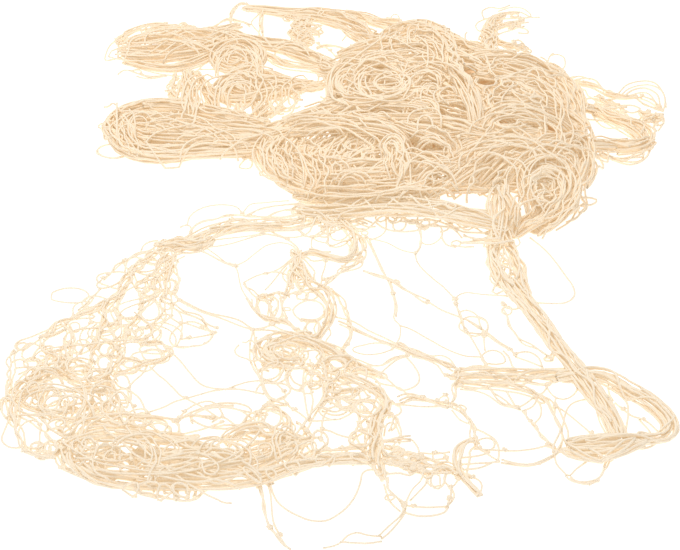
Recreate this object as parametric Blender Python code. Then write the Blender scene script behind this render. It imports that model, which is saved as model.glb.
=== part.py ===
"""Gill net of cotton twine, gathered by hand and let down in a loose heap.

The whole net is one piece of knotted netting, so it is one solid. A low mound of folded netting lies at the
back. Hanks of gathered meshes run over it and out of it along the floor, and between them single meshes lie
open, with a knot at each corner. The underside is flat where it rests. +X is to the right, +Y to the back.

The lay is drawn on a board, as it looks from in front of the net and thirty degrees above the floor. A spot
on the board counts x to the right and y down from its top left corner. Every place in the solid is worked out
from those spots by following the line of sight down to the mound or the floor.
"""

import math

import bmesh
import bpy
from mathutils import Matrix
from mathutils import Vector

MM = 0.001                    # every size below is in millimetres

# Drawing board, and the eye that looks at it
BOARD_WIDE = 680
BOARD_HIGH = 550
BOARD_AWAY = BOARD_WIDE * 35 / 12   # from the eye to the board, in spots
EYE_TILT = math.radians(30)   # above the floor
EYE_AWAY = 1870               # from the eye to the middle of the floor
SIGHT_STEPS = 60              # halvings that bring a sight line down to the mound
HANK_GRID = 2                 # places along a hank are kept to whole steps of this size
TWINE_GRID = 1

# Mound of folded netting under the hanks: a low dome, longer at the back than at the front
MOUND_X = 115
MOUND_Y = 250
MOUND_HALF_WIDTH = 170
MOUND_REACH_BACK = 345
MOUND_REACH_FRONT = 190
MOUND_HEIGHT = 56
MOUND_SINK = 4                # the hanks are bedded this deep in the mound
MOUND_SIDES = 18
MOUND_RINGS = 8
MOUND_RIM = 0.01              # the pressed ball is foot below this share of its radius

# Cross-section of a gathered hank, as shares of its width and height
FOOT_SHARE = 0.40             # half the flat foot, of the width
BELLY_SHARE = 0.35            # height of the widest place
RIDGE_DEPTH = 0.15            # valleys between the bunched twines
RIDGE_TURN = 190              # length in which the bunches make one turn round the hank
SECTION_STEP = 42             # distance between sections
THICK_HANK = 30
THIN_HANK = 15
POINTS_OVER_THICK = 5         # corners over the top of a hank, more on a thick one
POINTS_OVER_MIDDLE = 4
POINTS_OVER_THIN = 3

# Twine where it lies alone, with a flat foot
TWINE_FOOT = 3.0
TWINE_CROWN = 1.7
TWINE_TALL = 2.5
TWINE_STEP = 34
TWINE_SPREAD = 0.12           # each twine is a little taller than the one before it
TWINE_SIZES = 6
RING_SIDES = 8

FLAT_ANGLE = 4.0              # faces within this of each other become one

# Knots, ridged and flat underneath
KNOT_RIDGES = 3
KNOT_RADIUS = 4.6
KNOT_WAIST = 0.72             # radius between two ridges, as a share
KNOT_TOP = 0.55               # radius of the top, as a share
KNOT_TALL = 4.2

COTTON = (0.86, 0.72, 0.53, 1.0)

# Rows that cross the mound from left to right in a shallow bow, thick in the middle:
# left x, left y, right x, right y, bow, wide, tall
MOUND_ROWS = {
    "row_far_high": (70, 560, 216, 466, 15, 38, 20),
    "row_far_low": (64, 506, 230, 420, 11, 42, 22),
    "row_crest": (118, 430, 216, 368, 7, 40, 20),
    "row_flank": (150, 352, 246, 312, -3, 38, 20),
    "row_flank_low": (160, 298, 254, 276, -1, 34, 20),
}
ROW_SECTIONS = 5
ROW_END = 0.4                 # size of a row at its ends, as a share

# Hanks of gathered meshes: board x, board y, wide, tall for each section
HANKS = {
    "sheaf_left": [(124, 52, 10, 8), (140, 55, 36, 20), (165, 55, 46, 24), (190, 51, 44, 24),
        (212, 44, 34, 20), (230, 36, 24, 16), (251, 39, 20, 14), (284, 46, 22, 14), (305, 54, 22, 14),
        (332, 67, 24, 16)],
    "swirl_back_left": [(206, 49, 20, 12), (214, 57, 34, 18), (226, 58, 46, 20), (238, 56, 54, 22),
        (254, 57, 44, 18), (266, 60, 18, 12)],
    "rope_back": [(230, 22, 9, 8), (236, 10, 12, 9), (250, 10, 12, 10), (273, 11, 12, 10),
        (296, 12, 16, 12), (320, 14, 20, 14), (345, 23, 24, 16), (362, 34, 26, 18), (380, 46, 28, 18)],
    "fringe_back": [(296, 12, 14, 9), (301, 24, 26, 11), (302, 37, 24, 11), (299, 49, 8, 6)],
    "swirl_mid_left": [(213, 95, 10, 9), (225, 90, 34, 20), (243, 86, 46, 24), (262, 83, 34, 22),
        (285, 84, 24, 18), (303, 88, 20, 18), (318, 89, 16, 14)],
    "drop_left": [(187, 72, 8, 7), (187, 78, 24, 12), (187, 90, 26, 13), (184, 103, 24, 14),
        (182, 132, 20, 16)],
    "drop_mid": [(197, 72, 6, 6), (206, 90, 14, 10), (213, 104, 14, 12), (214, 120, 12, 12)],
    "hank_left": [(102, 131, 12, 12), (112, 127, 40, 26), (130, 129, 58, 30), (155, 130, 64, 33),
        (180, 132, 64, 33), (205, 136, 58, 30), (230, 140, 48, 27), (256, 141, 34, 24)],
    "band_mid": [(256, 141, 30, 22), (275, 133, 32, 22), (297, 123, 36, 22), (325, 116, 40, 24),
        (355, 113, 44, 24), (390, 113, 44, 24)],
    "lobe_left": [(259, 144, 18, 15), (260, 160, 26, 20), (269, 173, 30, 22), (285, 185, 32, 22),
        (306, 195, 30, 20)],
    "band_low": [(280, 160, 28, 20), (305, 166, 44, 26), (340, 172, 50, 28), (380, 170, 50, 28),
        (420, 166, 50, 28), (455, 158, 46, 26)],
    "row_back": [(368, 20, 22, 14), (392, 25, 30, 16), (420, 28, 32, 18), (448, 38, 30, 18),
        (478, 48, 26, 16), (502, 57, 24, 16)],
    "row_one": [(342, 52, 28, 18), (368, 46, 38, 20), (400, 44, 42, 22), (435, 50, 44, 24),
        (470, 64, 38, 22)],
    "row_two": [(333, 74, 26, 18), (358, 68, 40, 22), (395, 68, 44, 24), (430, 74, 44, 24),
        (462, 88, 38, 22)],
    "row_three": [(330, 96, 28, 18), (365, 92, 44, 24), (405, 94, 48, 26), (445, 100, 46, 26),
        (480, 110, 38, 22)],
    "row_four": [(300, 143, 30, 18), (335, 138, 42, 22), (380, 138, 50, 26), (425, 136, 50, 26),
        (468, 132, 46, 24), (500, 128, 36, 20)],
    "row_low": [(298, 192, 26, 16), (325, 197, 30, 18), (365, 191, 34, 20), (410, 186, 40, 22),
        (450, 186, 42, 22), (485, 190, 34, 20), (503, 205, 22, 16)],
    "cross_over": [(445, 36, 16, 12), (452, 56, 20, 14), (462, 74, 20, 14), (471, 94, 18, 14),
        (477, 120, 16, 12)],
    "row_right_back": [(490, 56, 20, 14), (525, 62, 26, 18), (553, 72, 28, 18), (572, 88, 26, 18),
        (581, 108, 20, 14)],
    "row_right_mid": [(478, 120, 22, 14), (503, 110, 28, 18), (530, 112, 30, 18), (556, 122, 28, 18),
        (579, 134, 20, 14)],
    "row_right_low": [(447, 178, 28, 18), (466, 160, 36, 20), (492, 148, 40, 22), (525, 141, 40, 22),
        (558, 142, 34, 20), (583, 150, 22, 14)],
    "edge_right": [(577, 118, 16, 12), (586, 140, 18, 14), (590, 163, 18, 14), (586, 186, 16, 12),
        (578, 204, 12, 10)],
    "swirl_right": [(500, 182, 26, 18), (516, 164, 30, 20), (543, 157, 30, 20), (566, 168, 30, 20),
        (577, 190, 28, 20), (568, 212, 26, 18), (545, 226, 24, 16), (515, 232, 18, 12),
        (497, 228, 14, 10)],
    "swirl_right_heart": [(512, 200, 26, 18), (532, 196, 40, 22), (552, 196, 36, 20)],
    "spike": [(489, 50, 14, 11), (486, 34, 12, 9), (490, 21, 11, 8), (503, 13, 10, 8), (518, 9, 9, 7),
        (535, 17, 4, 4)],
    "spike_branch": [(487, 36, 8, 7), (503, 27, 8, 7), (525, 21, 6, 6)],
    "tail_top": [(574, 80, 16, 11), (590, 82, 13, 9), (604, 92, 12, 9), (622, 96, 10, 8),
        (640, 98, 10, 8), (657, 103, 9, 7), (660, 115, 10, 8), (652, 128, 12, 9)],
    "tail_mid": [(583, 108, 16, 11), (600, 116, 14, 10), (622, 122, 16, 10), (650, 128, 18, 10)],
    "tail_low": [(588, 141, 20, 14), (610, 146, 20, 13), (632, 149, 18, 12), (650, 146, 7, 6)],
    "tie_left": [(170, 240, 18, 10), (188, 246, 28, 13), (206, 243, 20, 11), (216, 234, 14, 9),
        (240, 226, 13, 8), (265, 225, 12, 8), (290, 225, 12, 8), (316, 217, 16, 10),
        (342, 211, 22, 12), (375, 209, 28, 14), (410, 209, 30, 15), (440, 213, 28, 15),
        (466, 219, 24, 14), (494, 223, 22, 14)],
    "arch_left": [(190, 240, 7, 6), (190, 222, 8, 6), (200, 210, 9, 7), (220, 206, 9, 7),
        (240, 211, 8, 6), (262, 206, 8, 6), (290, 203, 8, 6)],
    "rope_right": [(494, 200, 20, 16), (497, 220, 19, 15), (499, 241, 18, 13), (502, 262, 18, 12),
        (507, 283, 20, 14), (518, 303, 20, 14), (537, 324, 22, 14), (555, 347, 22, 14),
        (574, 369, 22, 14), (590, 389, 20, 14), (604, 407, 19, 13), (616, 424, 18, 12),
        (623, 438, 14, 11)],
    "rope_corner": [(452, 381, 10, 8), (472, 377, 14, 9), (500, 374, 16, 10), (530, 376, 18, 11),
        (562, 376, 20, 12), (592, 376, 22, 13), (622, 387, 22, 13), (647, 398, 22, 13),
        (664, 411, 20, 12), (671, 425, 18, 11), (664, 437, 18, 11), (645, 440, 18, 11),
        (620, 438, 18, 11), (596, 438, 16, 10), (576, 442, 12, 9)],
    "loop_corner": [(580, 441, 9, 8), (569, 448, 10, 8), (574, 457, 11, 8), (592, 462, 12, 9),
        (610, 458, 11, 9), (620, 446, 10, 9)],
    "band_front": [(60, 462, 18, 9), (82, 460, 38, 13), (115, 461, 46, 16), (150, 464, 50, 17),
        (185, 467, 48, 16), (218, 471, 42, 15), (248, 474, 34, 13), (272, 474, 26, 12),
        (295, 470, 18, 10), (320, 467, 15, 9), (346, 465, 14, 8), (374, 464, 8, 6)],
    "band_front_top": [(209, 448, 14, 9), (226, 438, 22, 11), (250, 438, 26, 12), (274, 440, 24, 12),
        (288, 451, 18, 10), (290, 466, 14, 9)],
    "net_left": [(186, 243, 18, 10), (163, 248, 18, 10), (140, 256, 17, 9), (122, 267, 17, 9),
        (111, 283, 18, 9), (107, 303, 17, 8), (100, 327, 17, 8), (92, 349, 20, 9), (72, 362, 22, 9),
        (48, 374, 20, 8), (28, 387, 18, 8), (18, 405, 13, 8), (19, 430, 12, 7), (32, 451, 12, 8),
        (57, 459, 14, 8)],
    "net_left_inner": [(164, 250, 12, 8), (158, 270, 11, 8), (149, 291, 11, 8), (139, 312, 12, 8),
        (129, 334, 14, 8), (112, 351, 16, 8), (92, 360, 16, 8)],
    "net_left_low": [(30, 388, 10, 7), (50, 386, 12, 8), (72, 396, 24, 9), (94, 402, 26, 10),
        (106, 414, 16, 9), (98, 428, 11, 7), (82, 438, 10, 7)],
    "twist_mid": [(346, 226, 12, 9), (356, 238, 14, 10), (355, 251, 15, 10), (335, 257, 16, 10),
        (313, 260, 15, 10), (305, 272, 15, 10), (315, 287, 16, 10), (328, 302, 16, 10),
        (330, 318, 15, 9), (318, 332, 14, 9), (299, 341, 16, 10)],
    "coil_mid": [(260, 352, 14, 9), (270, 352, 32, 11), (286, 351, 42, 13), (302, 350, 30, 11),
        (310, 349, 14, 9)],
    "rope_mid": [(300, 338, 12, 8), (325, 349, 15, 9), (352, 361, 15, 10), (378, 371, 12, 8),
        (396, 362, 9, 7)],
    "drop_front": [(325, 352, 11, 8), (325, 375, 11, 8), (321, 398, 11, 8), (310, 420, 10, 8),
        (291, 440, 10, 8)],
    "rope_front": [(352, 366, 12, 8), (369, 383, 15, 10), (384, 402, 14, 10), (375, 424, 14, 9),
        (371, 447, 14, 9), (379, 467, 11, 8), (384, 480, 6, 5)],
    "hank_front": [(471, 446, 7, 6), (457, 450, 9, 7), (457, 465, 9, 7), (465, 481, 9, 7),
        (478, 497, 5, 4)],
}

# Twines that lie alone: board x, board y of each bend, and KNOT where it is knotted
KNOT = True
TWINES = {
    "left_slant": [(202, 247), (214, 252), (228, 260), (238, 271), (243, 290), (251, 307), (256, 328),
        (262, 350)],
    "left_slant_branch": [(230, 262, KNOT), (250, 260), (266, 249), (290, 246), (313, 258)],
    "left_slant_bar": [(242, 285), (270, 274), (290, 266), (306, 272)],
    "field_upper": [(150, 290), (172, 296, KNOT), (196, 308), (220, 320), (240, 328), (258, 330),
        (275, 323), (297, 340)],
    "field_middle": [(140, 309), (170, 312), (200, 320), (215, 328), (233, 338), (255, 344),
        (268, 351)],
    "field_lower": [(112, 350), (145, 352), (180, 346), (205, 338), (215, 328, KNOT)],
    "field_dip": [(160, 350), (176, 358), (190, 372), (205, 385, KNOT), (222, 391), (250, 392),
        (275, 397), (302, 398), (322, 398)],
    "field_long": [(112, 350), (135, 358), (152, 370), (168, 383), (186, 398), (206, 410), (226, 421),
        (238, 438)],
    "field_shelf": [(104, 412), (128, 415), (152, 413, KNOT), (180, 402), (205, 392), (224, 391)],
    "field_drop": [(258, 344), (251, 365), (262, 385), (276, 402), (292, 416), (308, 424)],
    "front_arch": [(164, 450), (178, 420), (205, 403), (222, 415), (236, 440)],
    "mid_arc": [(355, 240), (372, 247), (382, 268), (390, 282, KNOT), (403, 291), (425, 302, KNOT),
        (442, 310), (457, 317)],
    "mid_post": [(390, 282), (394, 303), (397, 326, KNOT), (400, 338), (394, 351), (384, 368)],
    "mid_slope": [(397, 326), (420, 335), (440, 350), (462, 356), (483, 357), (497, 366)],
    "mid_bar": [(313, 286), (334, 278), (352, 270), (370, 275), (390, 282)],
    "mid_hook": [(326, 300), (337, 291, KNOT), (346, 303), (350, 320), (352, 340), (354, 362)],
    "mid_straight": [(329, 316), (360, 328), (390, 342), (418, 357), (447, 370), (464, 380)],
    "long_fall": [(412, 214), (415, 250), (432, 276), (453, 298), (457, 317, KNOT), (463, 330),
        (477, 349), (487, 366, KNOT), (492, 378)],
    "fall_bar": [(453, 298, KNOT), (470, 295), (490, 294), (509, 297)],
    "fall_brace": [(463, 330, KNOT), (484, 331), (502, 350), (517, 365), (524, 376)],
    "eye_top": [(378, 371), (388, 361), (403, 356), (418, 357)],
    "eye_bottom": [(418, 357, KNOT), (421, 370), (417, 382), (402, 390), (384, 392)],
    "low_bar": [(400, 390), (425, 400), (450, 406, KNOT), (459, 394), (466, 379)],
    "low_bar_tail": [(450, 406), (463, 415), (472, 426), (474, 446)],
    "right_dip": [(478, 378), (500, 398), (520, 411, KNOT), (533, 426), (546, 440), (562, 452)],
    "right_second": [(520, 376), (524, 389), (537, 397), (552, 406), (560, 425), (563, 447)],
    "right_brace": [(552, 406, KNOT), (567, 415), (584, 430), (592, 440)],
    "corner_post": [(604, 384), (614, 401), (627, 416), (622, 432)],
    "corner_bar": [(614, 401, KNOT), (637, 418), (650, 427), (660, 438)],
    "corner_hang": [(562, 450), (557, 463), (567, 475), (582, 482), (598, 479), (608, 461)],
    "big_loop": [(498, 236), (514, 235), (530, 238), (546, 250), (560, 269, KNOT), (572, 285),
        (575, 296), (567, 303), (550, 306), (530, 305), (516, 302)],
    "side_loop": [(504, 264), (518, 263), (527, 274), (525, 289), (509, 295)],
    "cross_wrap": [(455, 247), (478, 243), (498, 242)],
    "front_square": [(372, 448), (392, 446), (415, 441), (421, 455), (413, 469, KNOT), (396, 474),
        (379, 470)],
    "front_ear": [(471, 446), (486, 440), (498, 449), (498, 462), (483, 478), (470, 489)],
    "front_drop": [(383, 476), (398, 490), (405, 503, KNOT), (402, 513), (396, 523), (386, 534),
        (380, 540, KNOT)],
    "front_triangle": [(405, 503), (424, 508), (446, 508, KNOT), (453, 493), (459, 475)],
    "tail_loop": [(258, 482), (262, 505), (268, 520, KNOT), (277, 537), (292, 553), (305, 556),
        (319, 549), (336, 543), (358, 536), (380, 540)],
    "tail_inner": [(267, 482), (271, 505), (277, 523), (288, 541), (305, 556)],
    "tail_sling": [(272, 480), (280, 503), (296, 518), (315, 523), (335, 518), (350, 505), (360, 487),
        (368, 464)],
    "hang_front": [(120, 480), (145, 495), (175, 502), (205, 503), (228, 496), (245, 480)],
    "left_outline": [(100, 330), (84, 320), (70, 319), (55, 326), (43, 338, KNOT), (30, 347),
        (17, 352), (11, 368), (10, 386), (17, 402)],
    "left_post": [(76, 318), (69, 332), (70, 346), (72, 360)],
    "left_ear": [(18, 406), (8, 419), (3, 434), (5, 447), (16, 450), (30, 448)],
    "left_shelf": [(24, 394), (45, 391), (75, 390), (105, 391), (120, 396), (112, 410)],
    "left_fall": [(86, 394), (88, 412, KNOT), (78, 430), (70, 455)],
    "ring_tie": [(86, 297), (96, 298), (108, 301)],
    "left_rung_a": [(111, 283), (130, 282), (152, 286)],
    "left_rung_c": [(100, 327), (114, 335), (129, 334)],
    "tail_arc": [(590, 146), (610, 160), (632, 164), (648, 158), (650, 144)],
    "back_bar": [(250, 42), (270, 50), (290, 56), (312, 61), (334, 69)],
    "tie_curl": [(440, 218), (453, 240), (470, 245), (490, 240)],
    "tie_arc": [(378, 214), (392, 230), (406, 233), (420, 230), (434, 216)],
}

# Loops of twine: board x, board y, half width, half height on the board
RINGS = {
    "ring_left": (69, 297, 19, 8),
    "ring_low_left": (52, 398, 14, 9),
    "ring_hank": (115, 152, 19, 8),
    "ring_front": (270, 426, 12, 13),
    "ring_mid": (310, 313, 13, 10),
    "ring_fall": (479, 322, 16, 11),
    "ring_fall_low": (497, 358, 13, 8),
    "ring_mid_low": (374, 350, 20, 7),
    "ring_cluster": (279, 311, 11, 13),
    "ring_drop": (308, 381, 12, 10),
    "ring_tail": (646, 108, 17, 16),
    "ring_tie": (340, 234, 9, 8),
    "ring_sheaf": (117, 54, 9, 11),
}




def clear_scene():
    for old in list(bpy.data.objects):
        bpy.data.objects.remove(old, do_unlink=True)


def new_collection(name):
    collection = bpy.data.collections.new(name)
    bpy.context.scene.collection.children.link(collection)
    return collection


def cotton_material():
    material = bpy.data.materials.new("cotton_twine")
    material.use_nodes = True
    shader = material.node_tree.nodes["Principled BSDF"]
    shader.inputs["Base Color"].default_value = COTTON
    shader.inputs["Roughness"].default_value = 0.9
    shader.inputs["Metallic"].default_value = 0.0
    return material


def mound_height(x, y):
    """Height of the folded netting over the floor at a place."""
    reach = MOUND_REACH_BACK if y > MOUND_Y else MOUND_REACH_FRONT
    across = (x - MOUND_X) / MOUND_HALF_WIDTH
    along = (y - MOUND_Y) / reach
    return MOUND_HEIGHT * max(0.0, 1.0 - across * across - along * along)


def sight_to_level(spot_x, spot_y, height):
    """Where the line of sight through a board spot comes down to a level plane."""
    right = (spot_x - BOARD_WIDE / 2) / BOARD_AWAY
    up = (BOARD_HIGH / 2 - spot_y) / BOARD_AWAY
    forward = math.cos(EYE_TILT) + up * math.sin(EYE_TILT)
    fall = math.sin(EYE_TILT) - up * math.cos(EYE_TILT)
    reach = (EYE_AWAY * math.sin(EYE_TILT) - height) / fall
    return right * reach, forward * reach - EYE_AWAY * math.cos(EYE_TILT)


def lay_down(spot_x, spot_y, lift):
    """Where the line of sight meets the mound or the floor, raised by lift."""
    height = lift
    for _ in range(SIGHT_STEPS):
        x, y = sight_to_level(spot_x, spot_y, height)
        height += (mound_height(x, y) + lift - height) / 2
    return sight_to_level(spot_x, spot_y, height)


def on_grid(value, grid):
    """Nearest whole step of the grid."""
    return round(value / grid) * grid


def hank_sections(rows):
    """Sections of a hank in millimetres, each seen at half its height."""
    sections = []
    for spot_x, spot_y, wide, tall in rows:
        x, y = lay_down(spot_x, spot_y, tall / 2)
        sections.append((on_grid(x, HANK_GRID), on_grid(y, HANK_GRID), wide, tall))
    return sections


def row_sections(left_x, left_y, right_x, right_y, bow, wide, tall):
    """Sections of a row that bows across the mound and swells in the middle."""
    sections = []
    for i in range(ROW_SECTIONS):
        share = i / (ROW_SECTIONS - 1)
        swell = math.sin(math.pi * share)
        size = ROW_END + (1 - ROW_END) * swell
        x = left_x + (right_x - left_x) * share
        y = left_y + (right_y - left_y) * share + bow * swell
        sections.append((x, y, wide * size, tall * size))
    return sections


def twine_route(bends):
    """Bends of a twine in millimetres."""
    route = []
    for bend in bends:
        x, y = lay_down(bend[0], bend[1], TWINE_TALL / 2)
        route.append((on_grid(x, TWINE_GRID), on_grid(y, TWINE_GRID)))
    return route


def knot_places():
    """Places in millimetres of the bends that are knotted."""
    return [
        place
        for bends in TWINES.values()
        for bend, place in zip(bends, twine_route(bends))
        if len(bend) > 2
    ]


def smooth_rows(rows, step, closed=False):
    """Rows read at about one step apart from a smooth curve through the given rows."""
    count = len(rows)
    spans = count if closed else count - 1
    result = []
    for i in range(spans):
        if closed:
            before, here, there, after = (rows[(i + k) % count] for k in (-1, 0, 1, 2))
        else:
            before, here, there, after = (rows[min(max(i + k, 0), count - 1)] for k in (-1, 0, 1, 2))
        pieces = max(1, round(math.dist(here[:2], there[:2]) / step))
        for j in range(pieces):
            t = j / pieces
            weights = (
                (-t + 2 * t ** 2 - t ** 3) / 2,
                (2 - 5 * t ** 2 + 3 * t ** 3) / 2,
                (t + 4 * t ** 2 - 3 * t ** 3) / 2,
                (t ** 3 - t ** 2) / 2,
            )
            around = (before, here, there, after)
            result.append([sum(w * row[c] for w, row in zip(weights, around)) for c in range(len(here))])
    if not closed:
        result.append(list(rows[-1]))
    return result


def sideways(places, i, closed=False):
    """Level direction across a route at one of its places."""
    count = len(places)
    if closed:
        first, last = places[i - 1], places[(i + 1) % count]
    else:
        first, last = places[max(i - 1, 0)], places[min(i + 1, count - 1)]
    run = Vector((last[0] - first[0], last[1] - first[1]))
    run.normalize()
    return Vector((run.y, -run.x))


def loft(name, sections, closed, collection):
    """Closed skin over a row of sections that have the same number of points."""
    mesh = bpy.data.meshes.new(name)
    bm = bmesh.new()
    loops = [[bm.verts.new(point) for point in section] for section in sections]
    count = len(loops[0])
    pairs = list(zip(loops, loops[1:]))
    if closed:
        pairs.append((loops[-1], loops[0]))
    for one, two in pairs:
        for k in range(count):
            m = (k + 1) % count
            bm.faces.new((one[k], two[k], two[m], one[m]))
    if not closed:
        bm.faces.new(loops[0])
        bm.faces.new(reversed(loops[-1]))
    bmesh.ops.triangulate(bm, faces=bm.faces[:])
    bmesh.ops.recalc_face_normals(bm, faces=bm.faces[:])
    bm.to_mesh(mesh)
    bm.free()
    return add_operand(name, mesh, collection)


def add_operand(name, mesh, collection):
    """Solid that the union takes in, kept out of the render."""
    piece = bpy.data.objects.new(name, mesh)
    piece.hide_render = True
    piece.display_type = "WIRE"
    collection.objects.link(piece)
    return piece


def points_over(wide):
    """Number of corners over the top of a hank whose widest section is this wide."""
    if wide >= THICK_HANK:
        return POINTS_OVER_THICK
    return POINTS_OVER_MIDDLE if wide >= THIN_HANK else POINTS_OVER_THIN


def make_hank(name, rows, collection):
    """Gathered meshes: flat below, bunched into ridges that turn slowly round the hank."""
    places = smooth_rows(rows, SECTION_STEP)
    points = points_over(max(wide for _, _, wide, _ in rows))
    sections = []
    travelled = 0.0
    for i, (x, y, wide, tall) in enumerate(places):
        if i:
            travelled += math.dist(places[i - 1][:2], (x, y))
        side = sideways(places, i)
        floor = max(0.0, mound_height(x, y) - MOUND_SINK)
        turn = 2 * math.pi * travelled / RIDGE_TURN
        profile = [(-FOOT_SHARE * wide, 0.0)]
        for k in range(points):
            angle = math.pi * (1 - k / (points - 1))
            reach = 1 - RIDGE_DEPTH * (0.5 - 0.5 * math.cos(math.pi * k + turn))
            across = math.cos(angle) * wide / 2 * reach
            up = tall * (BELLY_SHARE + (1 - BELLY_SHARE) * math.sin(angle) * reach)
            profile.append((across, up))
        profile.append((FOOT_SHARE * wide, 0.0))
        sections.append([
            Vector((x + side.x * across, y + side.y * across, floor + up)) * MM for across, up in profile
        ])
    return loft(name, sections, False, collection)


def make_twine(name, route, size, closed, collection):
    """One twine on the floor, four-sided, with a flat foot."""
    places = smooth_rows(route, TWINE_STEP, closed)
    tall = TWINE_TALL + TWINE_SPREAD * (size % TWINE_SIZES)
    sections = []
    for i, (x, y) in enumerate(places):
        side = sideways(places, i, closed)
        foot = side * TWINE_FOOT / 2
        crown = side * TWINE_CROWN / 2
        sections.append([
            Vector((x - foot.x, y - foot.y, 0.0)) * MM,
            Vector((x - crown.x, y - crown.y, tall)) * MM,
            Vector((x + crown.x, y + crown.y, tall)) * MM,
            Vector((x + foot.x, y + foot.y, 0.0)) * MM,
        ])
    return loft(name, sections, closed, collection)


def ring_route(spot_x, spot_y, half_wide, half_high):
    """Oval loop of twine as a closed route."""
    (x, y), (edge_x, _), (_, edge_y) = twine_route([
        (spot_x, spot_y),
        (spot_x + half_wide, spot_y),
        (spot_x, spot_y - half_high),
    ])
    turns = [2 * math.pi * k / RING_SIDES for k in range(RING_SIDES)]
    return [(x + (edge_x - x) * math.cos(turn), y + (edge_y - y) * math.sin(turn)) for turn in turns]


def make_knot(name, x, y, collection):
    """Low knot: a cone's frustum whose sides are drawn in between the ridges."""
    sides = 2 * KNOT_RIDGES
    bm = bmesh.new()
    bmesh.ops.create_cone(
        bm, cap_ends=True, segments=sides, radius1=KNOT_RADIUS * MM,
        radius2=KNOT_RADIUS * KNOT_TOP * MM, depth=KNOT_TALL * MM,
        matrix=Matrix.Translation((0, 0, KNOT_TALL * MM / 2)),
    )
    for vert in bm.verts:
        ridge = round(math.atan2(vert.co.y, vert.co.x) / (2 * math.pi) * sides)
        if ridge % 2:
            vert.co.x *= KNOT_WAIST
            vert.co.y *= KNOT_WAIST
    bmesh.ops.triangulate(bm, faces=bm.faces[:])
    mesh = bpy.data.meshes.new(name)
    bm.to_mesh(mesh)
    bm.free()
    mesh.transform(Matrix.Translation((x * MM, y * MM, 0)) @ Matrix.Rotation(x + y, 4, "Z"))
    return add_operand(name, mesh, collection)


def make_mound():
    """Folded netting at the bottom of the heap: a ball pressed into a dome with a flat foot."""
    bm = bmesh.new()
    bmesh.ops.create_uvsphere(bm, u_segments=MOUND_SIDES, v_segments=MOUND_RINGS, radius=1.0)
    rim = math.sqrt(1 - MOUND_SINK / MOUND_HEIGHT)
    for vert in bm.verts:
        reach = MOUND_REACH_BACK if vert.co.y > 0 else MOUND_REACH_FRONT
        x = MOUND_X + vert.co.x * rim * MOUND_HALF_WIDTH
        y = MOUND_Y + vert.co.y * rim * reach
        z = mound_height(x, y) - MOUND_SINK if vert.co.z > MOUND_RIM else 0.0
        vert.co = Vector((x, y, max(z, 0.0))) * MM
    flat = [face for face in bm.faces if all(vert.co.z == 0.0 for vert in face.verts)]
    bmesh.ops.dissolve_faces(bm, faces=flat)
    bmesh.ops.triangulate(bm, faces=bm.faces[:])
    mesh = bpy.data.meshes.new("netting")
    bm.to_mesh(mesh)
    bm.free()
    return bpy.data.objects.new("netting", mesh)


def centre_on_floor(pieces):
    """Move every mesh so that the middle of the whole net's box stands on the origin."""
    corners = [vert.co for piece in pieces for vert in piece.data.vertices]
    shift_x = -(min(c.x for c in corners) + max(c.x for c in corners)) / 2
    shift_y = -(min(c.y for c in corners) + max(c.y for c in corners)) / 2
    for piece in pieces:
        piece.data.transform(Matrix.Translation((shift_x, shift_y, 0)))
    print("origin moved by", round(shift_x, 6), round(shift_y, 6))


def build_net():
    """One piece of netting: mound, hanks, twines, loops and knots grown together."""
    clear_scene()
    parts = new_collection("gill_net")
    strands = new_collection("gill_net_strands")
    mound = make_mound()
    parts.objects.link(mound)
    for name, row in MOUND_ROWS.items():
        make_hank(name, row_sections(*row), strands)
    for name, rows in HANKS.items():
        make_hank(name, hank_sections(rows), strands)
    for size, (name, bends) in enumerate(TWINES.items()):
        make_twine(name, twine_route(bends), size, False, strands)
    for size, (name, oval) in enumerate(RINGS.items()):
        make_twine(name, ring_route(*oval), size, True, strands)
    for number, (x, y) in enumerate(knot_places()):
        make_knot("knot_%02d" % number, x, y, strands)
    centre_on_floor([mound] + list(strands.objects))
    union = mound.modifiers.new("one_piece", "BOOLEAN")
    union.operation = "UNION"
    union.solver = "EXACT"
    union.operand_type = "COLLECTION"
    union.collection = strands
    tidy = mound.modifiers.new("plain_faces", "DECIMATE")
    tidy.decimate_type = "DISSOLVE"
    tidy.angle_limit = math.radians(FLAT_ANGLE)
    mound.data.materials.append(cotton_material())


build_net()
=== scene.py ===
import math
import bpy
import numpy as np
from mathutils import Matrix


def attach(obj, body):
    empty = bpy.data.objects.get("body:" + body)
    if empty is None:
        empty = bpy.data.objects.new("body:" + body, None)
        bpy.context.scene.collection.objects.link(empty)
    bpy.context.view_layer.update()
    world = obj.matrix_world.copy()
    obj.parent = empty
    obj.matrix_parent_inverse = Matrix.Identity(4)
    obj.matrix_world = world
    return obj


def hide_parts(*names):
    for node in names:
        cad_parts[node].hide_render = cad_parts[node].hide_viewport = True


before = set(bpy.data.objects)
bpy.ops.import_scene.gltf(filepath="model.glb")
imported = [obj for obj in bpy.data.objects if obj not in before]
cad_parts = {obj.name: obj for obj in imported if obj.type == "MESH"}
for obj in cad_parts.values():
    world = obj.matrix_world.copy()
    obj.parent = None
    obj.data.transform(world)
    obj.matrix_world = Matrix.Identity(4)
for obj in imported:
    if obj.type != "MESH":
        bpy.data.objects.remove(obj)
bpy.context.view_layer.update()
print("frame loaded:", sorted(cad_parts))

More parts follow.
